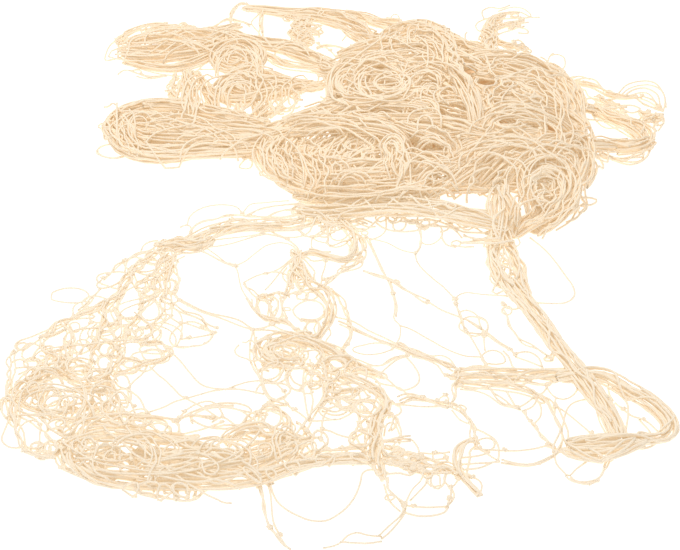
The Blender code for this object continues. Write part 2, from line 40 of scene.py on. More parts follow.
# one cotton twine; lengths are metres here and below, unless a note says otherwise
twine = {
    "radius": 0.00112,
    "uneven": 0.1,               # how much one differs from the next, as a share of the radius
    "sides": 5,
    "step": 0.006,               # distance between rings of points
    "fineStep": 0.004,           # the same for lone twines
    "layLength": 0.0042,         # one turn of the plies
    "plyDepth": 0.0002,
    "crimp": 0.00035,
    "crimpLength": 0.013,
    "knot": 0.0022,              # how far a knot reaches from its middle
    "rise": 0.001,               # how far a lone twine lifts off what it lies on
}


# mound of folded netting under the hanks, as in the solid
mound = {
    "middle": (0.0805, 0.1401),
    "halfWide": 0.170,
    "reachBack": 0.345,
    "reachFront": 0.190,
    "height": 0.056,
}


def moundHeight(x, y):
    reach = np.where(y > mound["middle"][1], mound["reachBack"], mound["reachFront"])
    across = (x - mound["middle"][0]) / mound["halfWide"]
    along = (y - mound["middle"][1]) / reach
    return mound["height"] * np.maximum(0.0, 1.0 - across ** 2 - along ** 2)


# where the eye stands; routes further down are spots as it sees them, x to the right and y down
eyeSetup = {
    "frameWide": 680,
    "frameHigh": 550,
    "lens": 105.0,               # millimetres, on a sensor of the width below
    "sensor": 36.0,
    "pitch": math.radians(30),
    "distance": 1.87,
    "lookAt": (-0.0345, -0.1099, 0.0),
}
pitch = eyeSetup["pitch"]
eyeSpot = (
    eyeSetup["lookAt"][0],
    eyeSetup["lookAt"][1] - eyeSetup["distance"] * math.cos(pitch),
    eyeSetup["distance"] * math.sin(pitch),
)
focalLength = eyeSetup["lens"] / eyeSetup["sensor"] * eyeSetup["frameWide"]


def castDown(spots, height):
    # from the eye through each spot to a level plane
    right = (spots[:, 0] - eyeSetup["frameWide"] / 2) / focalLength
    up = (eyeSetup["frameHigh"] / 2 - spots[:, 1]) / focalLength
    rayY = math.cos(pitch) + up * math.sin(pitch)
    rayZ = -math.sin(pitch) + up * math.cos(pitch)
    reach = (height - eyeSpot[2]) / rayZ
    return np.stack([eyeSpot[0] + right * reach, eyeSpot[1] + rayY * reach, height + 0 * reach], axis=1)


def layDown(spots, lift):
    # onto the mound or the floor, lifted a little
    height = lift + 0 * spots[:, 0]
    for turn in range(60):    # closes in on the height
        placed = castDown(spots, height)
        height = height + 0.5 * (moundHeight(placed[:, 0], placed[:, 1]) + lift - height)
    return castDown(spots, height)


def onBoard(points):
    # spots at which the eye sees these points, and metres per spot at their distance
    away = points - np.array(eyeSpot)
    depth = away[:, 1] * math.cos(pitch) - away[:, 2] * math.sin(pitch)
    rise = away[:, 1] * math.sin(pitch) + away[:, 2] * math.cos(pitch)
    scale = depth / focalLength
    return eyeSetup["frameWide"] / 2 + away[:, 0] / scale, eyeSetup["frameHigh"] / 2 - rise / scale, scale


def smoothRows(rows, closed=False):
    # smooth curve through rows of any number of columns, eight steps from one to the next
    rows = np.asarray(rows, dtype=float)
    count = len(rows)
    result = []
    for i in range(count if closed else count - 1):
        picks = [i - 1, i, i + 1, i + 2]
        picks = [p % count if closed else min(max(p, 0), count - 1) for p in picks]
        a, b, c, d = rows[picks]
        t = (np.arange(8) / 8)[:, None]
        bend, twist = 2 * a - 5 * b + 4 * c - d, 3 * b - a - 3 * c + d
        result.append(0.5 * (2 * b + (c - a) * t + bend * t ** 2 + twist * t ** 3))
    if not closed:
        result.append(rows[-1:])
    return np.concatenate(result)


def evenSteps(points, step, extra=None):
    # the same line with points one step apart; extra columns come along
    gaps = np.linalg.norm(np.diff(points[:, :3], axis=0), axis=1)
    travelled = np.concatenate([[0.0], np.cumsum(gaps)])
    count = max(3, int(round(travelled[-1] / step)) + 1)
    marks = np.linspace(0, travelled[-1], count)
    columns = points if extra is None else np.concatenate([points, extra], axis=1)
    return np.stack([np.interp(marks, travelled, column) for column in columns.T], axis=1), marks


def acrossOf(line):
    # level direction to the right of a line
    ahead = np.gradient(line[:, :2], axis=0)
    ahead /= np.maximum(np.linalg.norm(ahead, axis=1, keepdims=True), 1e-9)
    return np.stack([ahead[:, 1], -ahead[:, 0], 0 * ahead[:, 0]], axis=1)


def slowWave(rng, marks, length):
    # smooth wander between about -1 and 1: three waves of uneven length and height
    total = np.zeros(len(marks))
    for k in range(3):
        wavelength = length * rng.uniform(0.7, 1.9)
        height = rng.uniform(0.4, 1.0)
        total += height * np.sin(2 * math.pi * marks / wavelength + rng.uniform(0, 2 * math.pi))
    return total / (0.7 * 3)


def settle(line):
    # never under the floor
    line[:, 2] = np.maximum(line[:, 2], twine["radius"])
    return line


def crimped(rng, line):
    # small kinks of a twine that was knotted once
    steps = np.arange(len(line)) * twine["step"]
    side = acrossOf(line)
    sway = slowWave(rng, steps, twine["crimpLength"]) * twine["crimp"]
    rise = slowWave(rng, steps, twine["crimpLength"]) * twine["crimp"] * 0.6
    line = line + side * sway[:, None]
    line[:, 2] += rise
    return line


def uTurn(rng, there, back):
    # the twine turns back on itself past the end of a fold
    out = there[-1] - there[-2]
    out = out / max(np.linalg.norm(out), 1e-6)
    width = np.linalg.norm(back[0] - there[-1])
    bow = out * (0.4 * width + rng.uniform(0.001, 0.003))    # wider turns reach further out
    return np.array([there[-1] * 0.85 + back[0] * 0.15 + bow * 0.8, (there[-1] + back[0]) / 2 + bow * 1.15,
                     there[-1] * 0.15 + back[0] * 0.85 + bow * 0.8])


def unitPlaces(wide, tall, gap):
    # spots spread evenly over an oval cross section, as fractions of its half sizes
    places = []
    layers = max(1, round(tall / (gap * 0.85)))    # layers sink into one another
    for layer in range(layers):
        rise = (layer + 0.5) / layers * 2 - 1
        span = math.sqrt(1 - rise ** 2)
        across = max(1, round(wide * span / gap))
        places += [(((k + 0.5) / across * 2 - 1) * span, rise) for k in range(across)]
    return np.array(places)


def routeOf(rows, step):
    # a row is x, y, wide, tall, lift with sizes in millimetres; the result is in metres
    dense = smoothRows([(*row, *(0,) * (5 - len(row))) for row in rows])
    wide, tall, lift = dense[:, 2] * 0.001, dense[:, 3] * 0.001, dense[:, 4] * 0.001
    placed = layDown(dense[:, :2], lift + tall / 2)
    data, marks = evenSteps(placed, step, np.stack([wide, tall, lift], axis=1))
    return data[:, :3], data[:, 3], data[:, 4], data[:, 5], marks


def swapPlaces(rng, places, share, stages, mix):
    # twines trade places along the way, so they cross one another at small angles
    ordered = places[np.argsort(places[:, 0])]
    nodes = [places]
    for k in range(stages):
        moved = nodes[-1][:, 0] + rng.normal(0, mix, len(places))
        following = np.empty_like(places)
        following[np.argsort(moved)] = ordered
        nodes.append(following)
    nodes = np.array(nodes)
    routes = []
    for i in range(len(places)):
        at = np.clip(share * stages + rng.uniform(-0.35, 0.35), 0, stages - 1e-6)    # not all at once
        k = at.astype(int)
        t = at - k
        t = (t * t * (3 - 2 * t))[:, None]
        routes.append(nodes[k, i] * (1 - t) + nodes[k + 1, i] * t)
    return routes


# a folded hank: twines side by side that turn back at both ends
hank = {
    "gap": 3.4,                  # millimetres between twines
    "turn": 0.08,                # full turns round its own middle, over its length
    "loose": 1.3,                # how far its twines wander, in millimetres
    "wander": 0.06,              # and over what length
    "stray": 0.06,               # share of its twines that bulge out of it
    "strayReach": 10.0,          # how far those reach, in millimetres
    "strayLength": (0.010, 0.028),
    "dip": 0.0,                  # how deep both ends dive, in millimetres
    "dipShare": 0.2,             # and over what share of its length
    "swapEvery": 0.10,           # distance between places where twines trade places
    "mix": 0.35,                 # how many of them do
    "blunt": 0.75,               # narrowest it gets at its ends, as a share of its mean width
    "edge": 0.004,               # width over which a stray twine comes down beside it
    "overEvery": 7.0,            # millimetres of width for each twine that strays over it
    "over": {"span": 0.06, "curls": 0.2, "small": 0.004, "large": 0.009, "sway": 1.1, "whole": 0.35},
}


def hankTwines(rows, seed, **changes):
    # the twines of one hank, as open lines and closed rings
    setup = {**hank, **changes}
    rng = np.random.default_rng(seed)
    centre, wide, tall, lift, marks = routeOf(rows, twine["step"])
    halfWide = np.maximum(wide, np.mean(wide) * setup["blunt"]) / 2
    halfTall = tall / 2
    side = acrossOf(centre)
    total = marks[-1]
    share = marks / total
    buried = np.clip(1 - np.minimum(share, 1 - share) / setup["dipShare"], 0, 1) ** 2 * setup["dip"] * 0.001
    gap, loose = setup["gap"], setup["loose"]
    places = unitPlaces(np.mean(wide) * 1000, np.mean(tall) * 1000, gap)
    places += rng.normal(0, 0.3, places.shape) * gap / np.array([np.mean(wide), np.mean(tall)]) / 1000
    angle = 2 * math.pi * setup["turn"] * share
    lines = []
    for place in swapPlaces(rng, places, share, max(1, round(total / setup["swapEvery"])), setup["mix"]):
        a, b = place.T
        u = a * np.cos(angle) - b * np.sin(angle)
        v = a * np.sin(angle) + b * np.cos(angle)
        u = u + slowWave(rng, marks, setup["wander"]) * loose * 0.001 / halfWide
        v = v + slowWave(rng, marks, setup["wander"]) * loose * 0.0005 / halfTall
        over = np.maximum(1.0, np.hypot(u, v))
        across, rise = u / over * halfWide, v / over * halfTall
        if rng.random() < setup["stray"]:
            at = rng.uniform(0.1, 0.9) * total
            spread = rng.uniform(*setup["strayLength"])
            push = rng.uniform(0.2, 1.0) * setup["strayReach"] * 0.001 * rng.choice([-1, 1])
            bulge = np.exp(-((marks - at) / spread) ** 2)
            across = across + (push + np.sign(push) * (halfWide - np.abs(across))) * bulge
        line = centre + side * across[:, None]
        line[:, 2] += rise - buried
        outside = np.clip((np.abs(across) - halfWide) / setup["edge"], 0, 1)
        ground = moundHeight(line[:, 0], line[:, 1]) + twine["radius"]
        line[:, 2] = line[:, 2] * (1 - outside) + ground * outside
        first = rng.integers(0, 3)
        last = len(line) - rng.integers(0, 3)
        lines.append(crimped(rng, line[first:last]))
    rings = []
    for k in range(0, len(lines) - 1, 2):    # two by two, joined at both ends
        there, back = lines[k], lines[k + 1][::-1]
        rings.append(settle(np.concatenate([there, uTurn(rng, there, back), back, uTurn(rng, back, there)])))
    return [settle(line) for line in lines[2 * len(rings):]], rings


def loneTwine(spots, seed, closed=False):
    # one twine lying on the floor or the heap
    rng = np.random.default_rng(seed)
    rows = smoothRows([(*spot, *(0,) * (3 - len(spot))) for spot in spots], closed=closed)
    if closed:
        rows = np.concatenate([rows, rows[:1]])
    placed = layDown(rows[:, :2], rows[:, 2] * 0.001 + twine["radius"])
    line, marks = evenSteps(placed, twine["fineStep"])
    line[:, 2] += (1 + slowWave(rng, marks, 0.05)) * twine["rise"]
    return settle(line[:-1] if closed else line)


def withLoops(rng, path, rate, small, large):
    # the same flat path with a full turn put in here and there
    parts = []
    at = 0
    reach = len(path) * twine["fineStep"]
    turns = rng.poisson(rate * reach / 0.1)
    for turnAt in np.sort(rng.integers(2, max(3, len(path) - 2), turns)):
        if turnAt <= at + 1 or turnAt >= len(path) - 2:
            continue
        parts.append(path[at:turnAt])
        spot = path[turnAt]
        ahead = path[turnAt + 1] - path[turnAt - 1]
        ahead = ahead / np.linalg.norm(ahead)
        way = rng.choice([-1, 1])
        radius = rng.uniform(small, large)
        middle = spot + way * radius * np.array([-ahead[1], ahead[0]])
        sweep = np.linspace(0, 2 * math.pi, 11)[1:-1] * way    # one full turn
        start = math.atan2(*(spot - middle)[::-1])
        squash = rng.uniform(0.75, 1.2)
        full = np.stack([np.cos(start + sweep) * squash, np.sin(start + sweep)], axis=1)
        parts.append(middle + radius * full)
        at = turnAt
    parts.append(path[at:])
    return np.concatenate(parts)


# a band of loose twines that wander and now and then turn a full loop
band = {
    "span": 0.04,                # length of a wave
    "sway": 1.0,                 # height of a wave, as a share of the band
    "curls": 0.4,                # loops per 0.1 m of twine
    "small": 0.003,              # radius of the smallest and the largest loop
    "large": 0.006,
    "whole": 0.5,                # share of the band in which a twine may begin or end
    "shortest": 0.012,
}


def looseTwines(rows, count, seed, over=False, **changes):
    # the twines of one band; over keeps them on top of a hank
    setup = {**band, **changes}
    rng = np.random.default_rng(seed)
    centre, wide, tall, lift, marks = routeOf(rows, 0.002)
    side = acrossOf(centre)
    total = marks[-1]
    lines = []
    for k in range(count):
        first = rng.uniform(0, setup["whole"]) * total
        last = rng.uniform(1 - setup["whole"], 1) * total
        if last - first < setup["shortest"]:
            continue
        runs = np.linspace(first, last, max(4, round((last - first) / twine["fineStep"])))
        across = rng.uniform(-0.5, 0.5) + slowWave(rng, runs, setup["span"]) * setup["sway"] * 0.7
        width = np.interp(runs, marks, wide)
        past = np.maximum(np.abs(across) - 1, 0) * np.sign(across)
        across = np.clip(across, -1, 1) * width / 2 + past * width * 0.12    # few reach far past the edge
        path = np.stack([runs, across], axis=1)
        path = withLoops(rng, path, setup["curls"], setup["small"], setup["large"])
        spots = np.clip(path[:, 0], 0, total)
        base = np.stack([np.interp(spots, marks, column) for column in centre.T], axis=1)
        away = np.stack([np.interp(spots, marks, column) for column in side.T], axis=1)
        line = base + away * path[:, 1:2]
        height, raised = np.interp(spots, marks, tall), np.interp(spots, marks, lift)
        ground = moundHeight(line[:, 0], line[:, 1]) + twine["radius"]
        if over:
            share = np.abs(path[:, 1]) / (np.interp(spots, marks, wide) / 2)
            crown = np.sqrt(np.clip(1 - share ** 2, 0, 1))
            line[:, 2] = ground + raised * np.clip(3 - 2 * share, 0, 1) + height * crown
        else:
            wave = rng.uniform(0, 1) + slowWave(rng, np.arange(len(line)) * twine["fineStep"], 0.04) * 0.3
            line[:, 2] = ground + raised + np.clip(wave, 0, 1) * height
        lines.append(settle(line))
    return lines


def knotTwine(spot, size, rng):
    # a small overhand knot
    t = np.linspace(0, 2 * math.pi, 13)[:-1]
    loop = np.array([np.sin(t) + 2 * np.sin(2 * t), np.cos(t) - 2 * np.cos(2 * t), -np.sin(3 * t)]).T / 3
    turn = rng.uniform(0, 2 * math.pi)
    spin = np.array([[math.cos(turn), -math.sin(turn), 0], [math.sin(turn), math.cos(turn), 0], [0, 0, 1]])
    loop = loop @ spin.T * size
    loop[:, 2] = loop[:, 2] * 0.8 + size * 0.35    # pulled flat, and on top
    return spot + loop


# places where the twines of the heap part: x, y, half wide, half high, and 1 where the floor shows through
partingSetup = {
    "soft": 1.9,                 # how far round a parting twines are pushed, in its own half sizes
    "spots": [
        (410,53,9,2.5,0), (408,65,5,1.5,0), (390,83,8,3.5,0), (470,70,6,4,0), (487,83,9,3.5,0),
        (508,122,10,4,0), (357,147,9,3,0), (340,149,4,3,0), (274,149,2.5,3,0), (440,147,8,2,0),
        (544,181,6,1.5,0), (549,197,5,3,0), (485,186,7,2,0), (360,114,8,2,0), (345,84,2.5,2.5,0),
        (356,155,8,3,1), (375,155,8,4,1), (337,203,12,3.2,1), (407,193,7,2.6,1), (456,109,7,4,1),
        (457,124,6,3.2,1), (536,99,4.5,3.5,1), (532,84,4.5,3.5,1), (520,93,4,2.5,1), (504,53,7,2.2,1),
        (338,96,4,3,1), (438,177,8,3.6,1),
    ],
}


def parted(lines):
    # every line pushed aside round every parting
    result = []
    for line in lines:
        line = line.copy()
        for x, y, halfWide, halfHigh, clear in partingSetup["spots"]:
            soft = partingSetup["soft"]
            right, down, scale = onBoard(line)
            away = np.stack([(right - x) / halfWide, (down - y) / halfHigh], axis=1)
            far = np.hypot(away[:, 0], away[:, 1])
            push = np.where(far < soft, (1 + far / soft * (soft - 1)) / np.maximum(far, 0.05) - 1, 0.0)
            line[:, 0] += away[:, 0] * push * halfWide * scale
            line[:, 1] -= away[:, 1] * push * halfHigh * scale / math.sin(pitch)
        result.append(line)
    return result


# height of the twines laid so far, on a grid seen from above
heightGrid = {
    "corner": (-0.36, -0.60),
    "cell": 0.003,
    "cells": (260, 410),
}


def cellOf(points):
    column = ((points[:, 0] - heightGrid["corner"][0]) / heightGrid["cell"]).astype(int)
    row = ((points[:, 1] - heightGrid["corner"][1]) / heightGrid["cell"]).astype(int)
    return column, row


def topMap(lines):
    # height of the twines laid so far: filled out twice, then smoothed three times
    points = np.concatenate(lines)
    grid = np.zeros(heightGrid["cells"])
    np.maximum.at(grid, cellOf(points), points[:, 2])
    for spread in (np.max, np.max, np.mean, np.mean, np.mean):
        grid = spread([np.roll(grid, (a, b), (0, 1)) for a in (-1, 0, 1) for b in (-1, 0, 1)], axis=0)
    return grid


def layOn(grid, spots, lift):
    # onto the twines laid so far
    height = 0.05 + 0 * spots[:, 0]
    for turn in range(40):    # closes in on the height
        column, row = cellOf(castDown(spots, height))
        top = grid[np.clip(column, 0, grid.shape[0] - 1), np.clip(row, 0, grid.shape[1] - 1)]
        height += 0.3 * (top + lift - height)
    smooth = np.convolve(np.pad(height, 2, mode="edge"), np.ones(5) / 5, mode="valid")   # mean of five
    return castDown(spots, np.maximum(smooth, twine["radius"]))


# arcs and mesh rings that lie on what was laid before
arc = {
    "points": 24,
    "outer": 1.05,               # size of the outermost arc
    "nest": 0.6,                 # how much smaller the innermost arc is than the outermost
    "tilt": 0.22,                # how much arcs lean, in radians
    "stray": 0.13,               # how much their middles stray, as a share of their half sizes
    "uneven": 0.2,               # how much one is wider or higher than the next
    "endStray": 25,              # how far the ends stray, in degrees
    "lift": 0.0025,
    "dive": 0.008,               # how deep both ends dive
    "diveLength": 0.012,
}


def divingTwine(grid, x, y, lift):
    # both ends dive under the twines around them
    line, marks = evenSteps(layOn(grid, np.stack([x, y], axis=1), lift), twine["fineStep"])
    ends = np.minimum(marks, marks[-1] - marks)
    line[:, 2] -= arc["dive"] * np.clip(1 - ends / arc["diveLength"], 0, 1) ** 2
    return settle(line)


def arcTwines(table, grid, seed):
    # nested arcs; a row is x, y, half wide, half high, from and to in degrees, count
    rng = np.random.default_rng(seed)
    uneven, points = arc["uneven"], arc["points"]
    lines = []
    for x, y, halfWide, halfHigh, start, stop, count in table:
        for k in range(count):
            size = arc["outer"] - arc["nest"] * (k + rng.uniform(0, 1)) / count
            first = start + rng.uniform(-arc["endStray"], arc["endStray"])
            last = stop + rng.uniform(-arc["endStray"], arc["endStray"])
            turns = np.radians(np.linspace(first, last, points))
            tilt = rng.normal(0, arc["tilt"])
            share = np.linspace(0, 1, points)
            size = size * (1 + rng.uniform(-0.15, 0.15) * share + 0.08 * slowWave(rng, share, 0.4))
            across = halfWide * size * np.cos(turns) * (1 + uneven * rng.uniform(-1, 1))
            up = halfHigh * size * np.sin(turns) * (1 + uneven * rng.uniform(-1, 1))
            right = x + rng.normal(0, arc["stray"]) * halfWide + across * math.cos(tilt) - up * math.sin(tilt)
            down = y + rng.normal(0, arc["stray"]) * halfHigh - across * math.sin(tilt) - up * math.cos(tilt)
            lines.append(divingTwine(grid, right, down, rng.uniform(0.0, arc["lift"])))
    return lines


def meshTwines(table, grid, seed):
    # one or two twines round each open mesh, none of them quite round; a row is x, y, half wide, half high
    rng = np.random.default_rng(seed)
    points = arc["points"]
    lines = []
    for x, y, halfWide, halfHigh in table:
        for k in range(rng.integers(1, 3)):
            turns = np.radians(rng.uniform(0, 360) + np.linspace(0, rng.uniform(250, 420), points))
            grow = 1.1 + 0.16 * np.cos(2 * turns + rng.uniform(0, 6.3))    # drawn long
            grow += 0.12 * np.cos(3 * turns + rng.uniform(0, 6.3))    # and to three corners
            grow += np.linspace(0, rng.uniform(0, 0.3), points)
            shift = rng.normal(0, 0.1, 2)
            right = x + (halfWide + 1.0) * (grow * np.cos(turns) + shift[0])
            down = y - (halfHigh + 1.0) * (grow * np.sin(turns) + shift[1])
            lines.append(divingTwine(grid, right, down, rng.uniform(0.0, arc["lift"])))
    return lines


def hanksOf(table, seed, **common):
    # every hank of a table with a few twines straying over it; an entry is rows, or rows with its own changes
    lines, rings = [], []
    for turn, entry in enumerate(table.values() if isinstance(table, dict) else table):
        setup = entry if isinstance(entry, dict) else {"rows": entry}
        more, closed = hankTwines(seed=seed + turn, **{**common, **setup})
        meanWide = np.mean([row[2] for row in setup["rows"]])
        over = round(meanWide / hank["overEvery"])
        lines += more + looseTwines(setup["rows"], over, seed + turn + 5000, over=True, **hank["over"])
        rings += closed
    return lines, rings


def bandsOf(table, seed, **common):
    # every band of a table
    lines = []
    for turn, setup in enumerate(table.values()):
        lines += looseTwines(seed=seed + turn, **{**common, **setup})
    return lines


def paired(table):
    # a row is a count, then x,y of each spot; gives the count and the spots
    return [(count, *zip(numbers[::2], numbers[1::2])) for count, *numbers in table]


# twines that run together or alone; as a band, they take the looks below
run = {
    "wide": 3.0,                 # millimetres of width for each twine
    "tall": (2, 0.6),            # millimetres of height, and more for each twine
    "band": {"span": 0.035, "curls": 0.12, "small": 0.003, "large": 0.007, "sway": 1.1, "whole": 0.06},
}


def runsOf(table, seed):
    # a few twines at a time along each route; a spot is x, y and at times a lift in millimetres
    lines = []
    for turn, (count, *spots) in enumerate(table):
        if count == 1:
            lines.append(loneTwine(spots, seed + turn))
            continue
        wide, tall = count * run["wide"], run["tall"][0] + count * run["tall"][1]
        rows = [(s[0], s[1], wide, tall, s[2] if len(s) > 2 else 0) for s in spots]
        lines += looseTwines(rows, count, seed + turn, **run["band"])
    return lines


def ringsAt(table, seed):
    # small open rings of one twine; a row is x, y, half wide, half high
    rng = np.random.default_rng(seed)
    rings = []
    for turn, (x, y, halfWide, halfHigh) in enumerate(table):
        t = np.linspace(0, 2 * math.pi, 10)[:-1] + rng.uniform(0, 1)
        wobble = 1 + 0.07 * rng.standard_normal(9)
        spots = np.stack([x + halfWide * wobble * np.cos(t), y + halfHigh * wobble * np.sin(t)], axis=1)
        rings.append(loneTwine(spots, seed + 100 + turn, closed=True))
    return rings


def knotsOn(lines, count, seed, ends):
    # knots at a share of the twine ends, and a count of them anywhere
    rng = np.random.default_rng(seed)
    spots = [line[at] for line in lines for at in (0, -1) if rng.random() < ends]
    for k in range(count):
        line = lines[rng.integers(0, len(lines))]
        spots.append(line[rng.integers(0, len(line))])
    return [knotTwine(spot, twine["knot"] * rng.uniform(0.8, 1.2), rng) for spot in spots]


def setInputs(look, node, values):
    # each input gets its value, or a link where the value is another node's output
    for name, value in values.items():
        if isinstance(value, bpy.types.NodeSocket):
            look.node_tree.links.new(value, node.inputs[name])
        else:
            node.inputs[name].default_value = value


def addNode(look, kind, **values):
    node = look.node_tree.nodes.new("ShaderNode" + kind)
    setInputs(look, node, values)
    return node


def newLook(name):
    look = bpy.data.materials.new(name)
    look.use_nodes = True
    return look, look.node_tree.nodes["Principled BSDF"]


cotton = {
    "roughness": 0.9,
    # colour of the painted glow that lifts the shade between the twines
    "paintedGlowColour": (1.0, 0.80, 0.50, 1),
    "blotch": 14.0,              # patches of tone to a metre
    "blotchDetail": 3.0,
    "ownTone": 0.45,             # how far one twine's tone stands from the next
    "lightFrom": 0.75,           # how far up the scale the light tone is reached
    "plyScale": 0.7,
    "plyWaver": 0.4,
    "plyStrength": 0.5,
}


def cottonMaterial(name, light, dark, paintedGlow):
    # undyed cotton, each twine its own tone, with a laid twist
    # a warm painted glow, set by the strength argument, stands for light that passes through and between the
    # twines and lifts their shade
    look, shader = newLook(name)
    geometry = addNode(look, "NewGeometry")
    place = addNode(look, "TexCoord")
    blotch = addNode(look, "TexNoise", Vector=place.outputs["Object"], Scale=cotton["blotch"],
                     Detail=cotton["blotchDetail"])
    tones = addNode(look, "ValToRGB")
    for stop, (at, tone) in zip(tones.color_ramp.elements, ((0.0, dark), (cotton["lightFrom"], light))):
        stop.position, stop.color = at, (*tone, 1)
    blend = addNode(look, "Math")
    blend.operation = "MULTIPLY_ADD"
    setInputs(look, blend, {0: geometry.outputs["Random Per Island"], 1: cotton["ownTone"],
                            2: blotch.outputs["Fac"]})
    setInputs(look, tones, {"Fac": blend.outputs["Value"]})
    # the plies run round the twine as slanted stripes
    lay = addNode(look, "UVMap")
    lay.uv_map = "lay"
    slant = addNode(look, "Mapping", Vector=lay.outputs["UV"], Rotation=(0, 0, math.radians(45)))
    plies = addNode(look, "TexWave", Vector=slant.outputs["Vector"], Scale=cotton["plyScale"],
                    Distortion=cotton["plyWaver"])
    bump = addNode(look, "Bump", Height=plies.outputs["Fac"], Strength=cotton["plyStrength"],
                   Distance=twine["plyDepth"])
    setInputs(look, shader, {
        "Base Color": tones.outputs["Color"],
        "Normal": bump.outputs["Normal"],
        "Roughness": cotton["roughness"],
        "Specular IOR Level": 0.0,
        # painted glow: emission that lifts the shade between the twines
        "Emission Color": cotton["paintedGlowColour"],
        "Emission Strength": paintedGlow,
    })
    return look


def netPiece(name, mesh, look):
    # one mesh of netting, in the scene and on the frame
    mesh.shade_smooth()
    mesh.materials.append(look)
    piece = bpy.data.objects.new(name, mesh)
    bpy.context.scene.collection.objects.link(piece)
    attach(piece, "root")
    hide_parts("netting")


def twineMesh(name, lines, rings, look, thick=1.0):
    # tubes round open lines and closed rings, in one piece
    sides = twine["sides"]
    angles = 2 * math.pi * np.arange(sides) / sides
    spots, quads, caps, uvs = [], [], [], []
    base = 0
    length = 0.0
    rng = np.random.default_rng(len(lines) + 7)
    for line, closed in [(line, False) for line in lines] + [(ring, True) for ring in rings]:
        count = len(line)
        ahead = np.roll(line, -1, axis=0) - np.roll(line, 1, axis=0) if closed else np.gradient(line, axis=0)
        ahead /= np.maximum(np.linalg.norm(ahead, axis=1, keepdims=True), 1e-9)
        side = np.cross(ahead, [0.0, 0.0, 1.0])
        side /= np.maximum(np.linalg.norm(side, axis=1, keepdims=True), 1e-6)
        rise = np.cross(side, ahead)
        radius = twine["radius"] * thick * rng.uniform(1 - twine["uneven"], 1 + twine["uneven"])
        ring = np.cos(angles)[:, None] * side[:, None, :] + np.sin(angles)[:, None] * rise[:, None, :]
        spots.append((line[:, None, :] + radius * ring).reshape(-1, 3))
        last = count if closed else count - 1
        i = np.repeat(np.arange(last), sides)
        k = np.tile(np.arange(sides), last)
        j, m = (i + 1) % count, (k + 1) % sides
        quads.append(base + np.stack([i * sides + k, j * sides + k, j * sides + m, i * sides + m], axis=1))
        gaps = np.linalg.norm(np.diff(line, axis=0), axis=1)
        along = np.concatenate([[0], np.cumsum(gaps)]) / twine["layLength"]
        along = np.append(along, along[-1] + 1)
        corners = ((along[i], k), (along[i + 1], k), (along[i + 1], k + 1), (along[i], k + 1))
        uvs.append(np.stack([np.stack([u, v / sides], axis=1) for u, v in corners], axis=1).reshape(-1, 2))
        if not closed:
            caps.append([base + k for k in range(sides)])
            caps.append([base + last * sides + k for k in reversed(range(sides))])
        base += count * sides
        length += float(gaps.sum())
    mesh = bpy.data.meshes.new(name)
    mesh.from_pydata(np.concatenate(spots), [], np.concatenate(quads).tolist() + caps)
    layer = mesh.uv_layers.new(name="lay")
    coords = np.zeros((len(mesh.loops), 2), dtype=np.float32)
    flat = np.concatenate(uvs)
    coords[:len(flat)] = flat
    layer.data.foreach_set("uv", coords.ravel())
    netPiece(name, mesh, look)
    triangles = 2 * len(flat) // 4 + (sides - 2) * len(caps)
    print(name, "made:", len(lines) + len(rings), "twines,", round(length, 1), "m,", triangles, "triangles")


cottonLook = cottonMaterial("cottonTwine", light=(0.912, 0.782, 0.617), dark=(0.848, 0.695, 0.52), paintedGlow=0.115)
# painted light: a paler copy of the cotton with a stronger painted glow, for the parts on the floor that get
# more light back from it
frontLook = cottonMaterial("cottonPale", light=(0.895, 0.79, 0.65), dark=(0.845, 0.72, 0.572), paintedGlow=0.133)
# painted shade: darker, oranger cotton for the shell deep in the heap, standing for the shade in its hollows
heartPaintedShadeLook = cottonMaterial("cottonHeartPaintedShade", light=(0.92, 0.68, 0.45), dark=(0.84, 0.59, 0.37), paintedGlow=0.095)
print("cotton materials made")

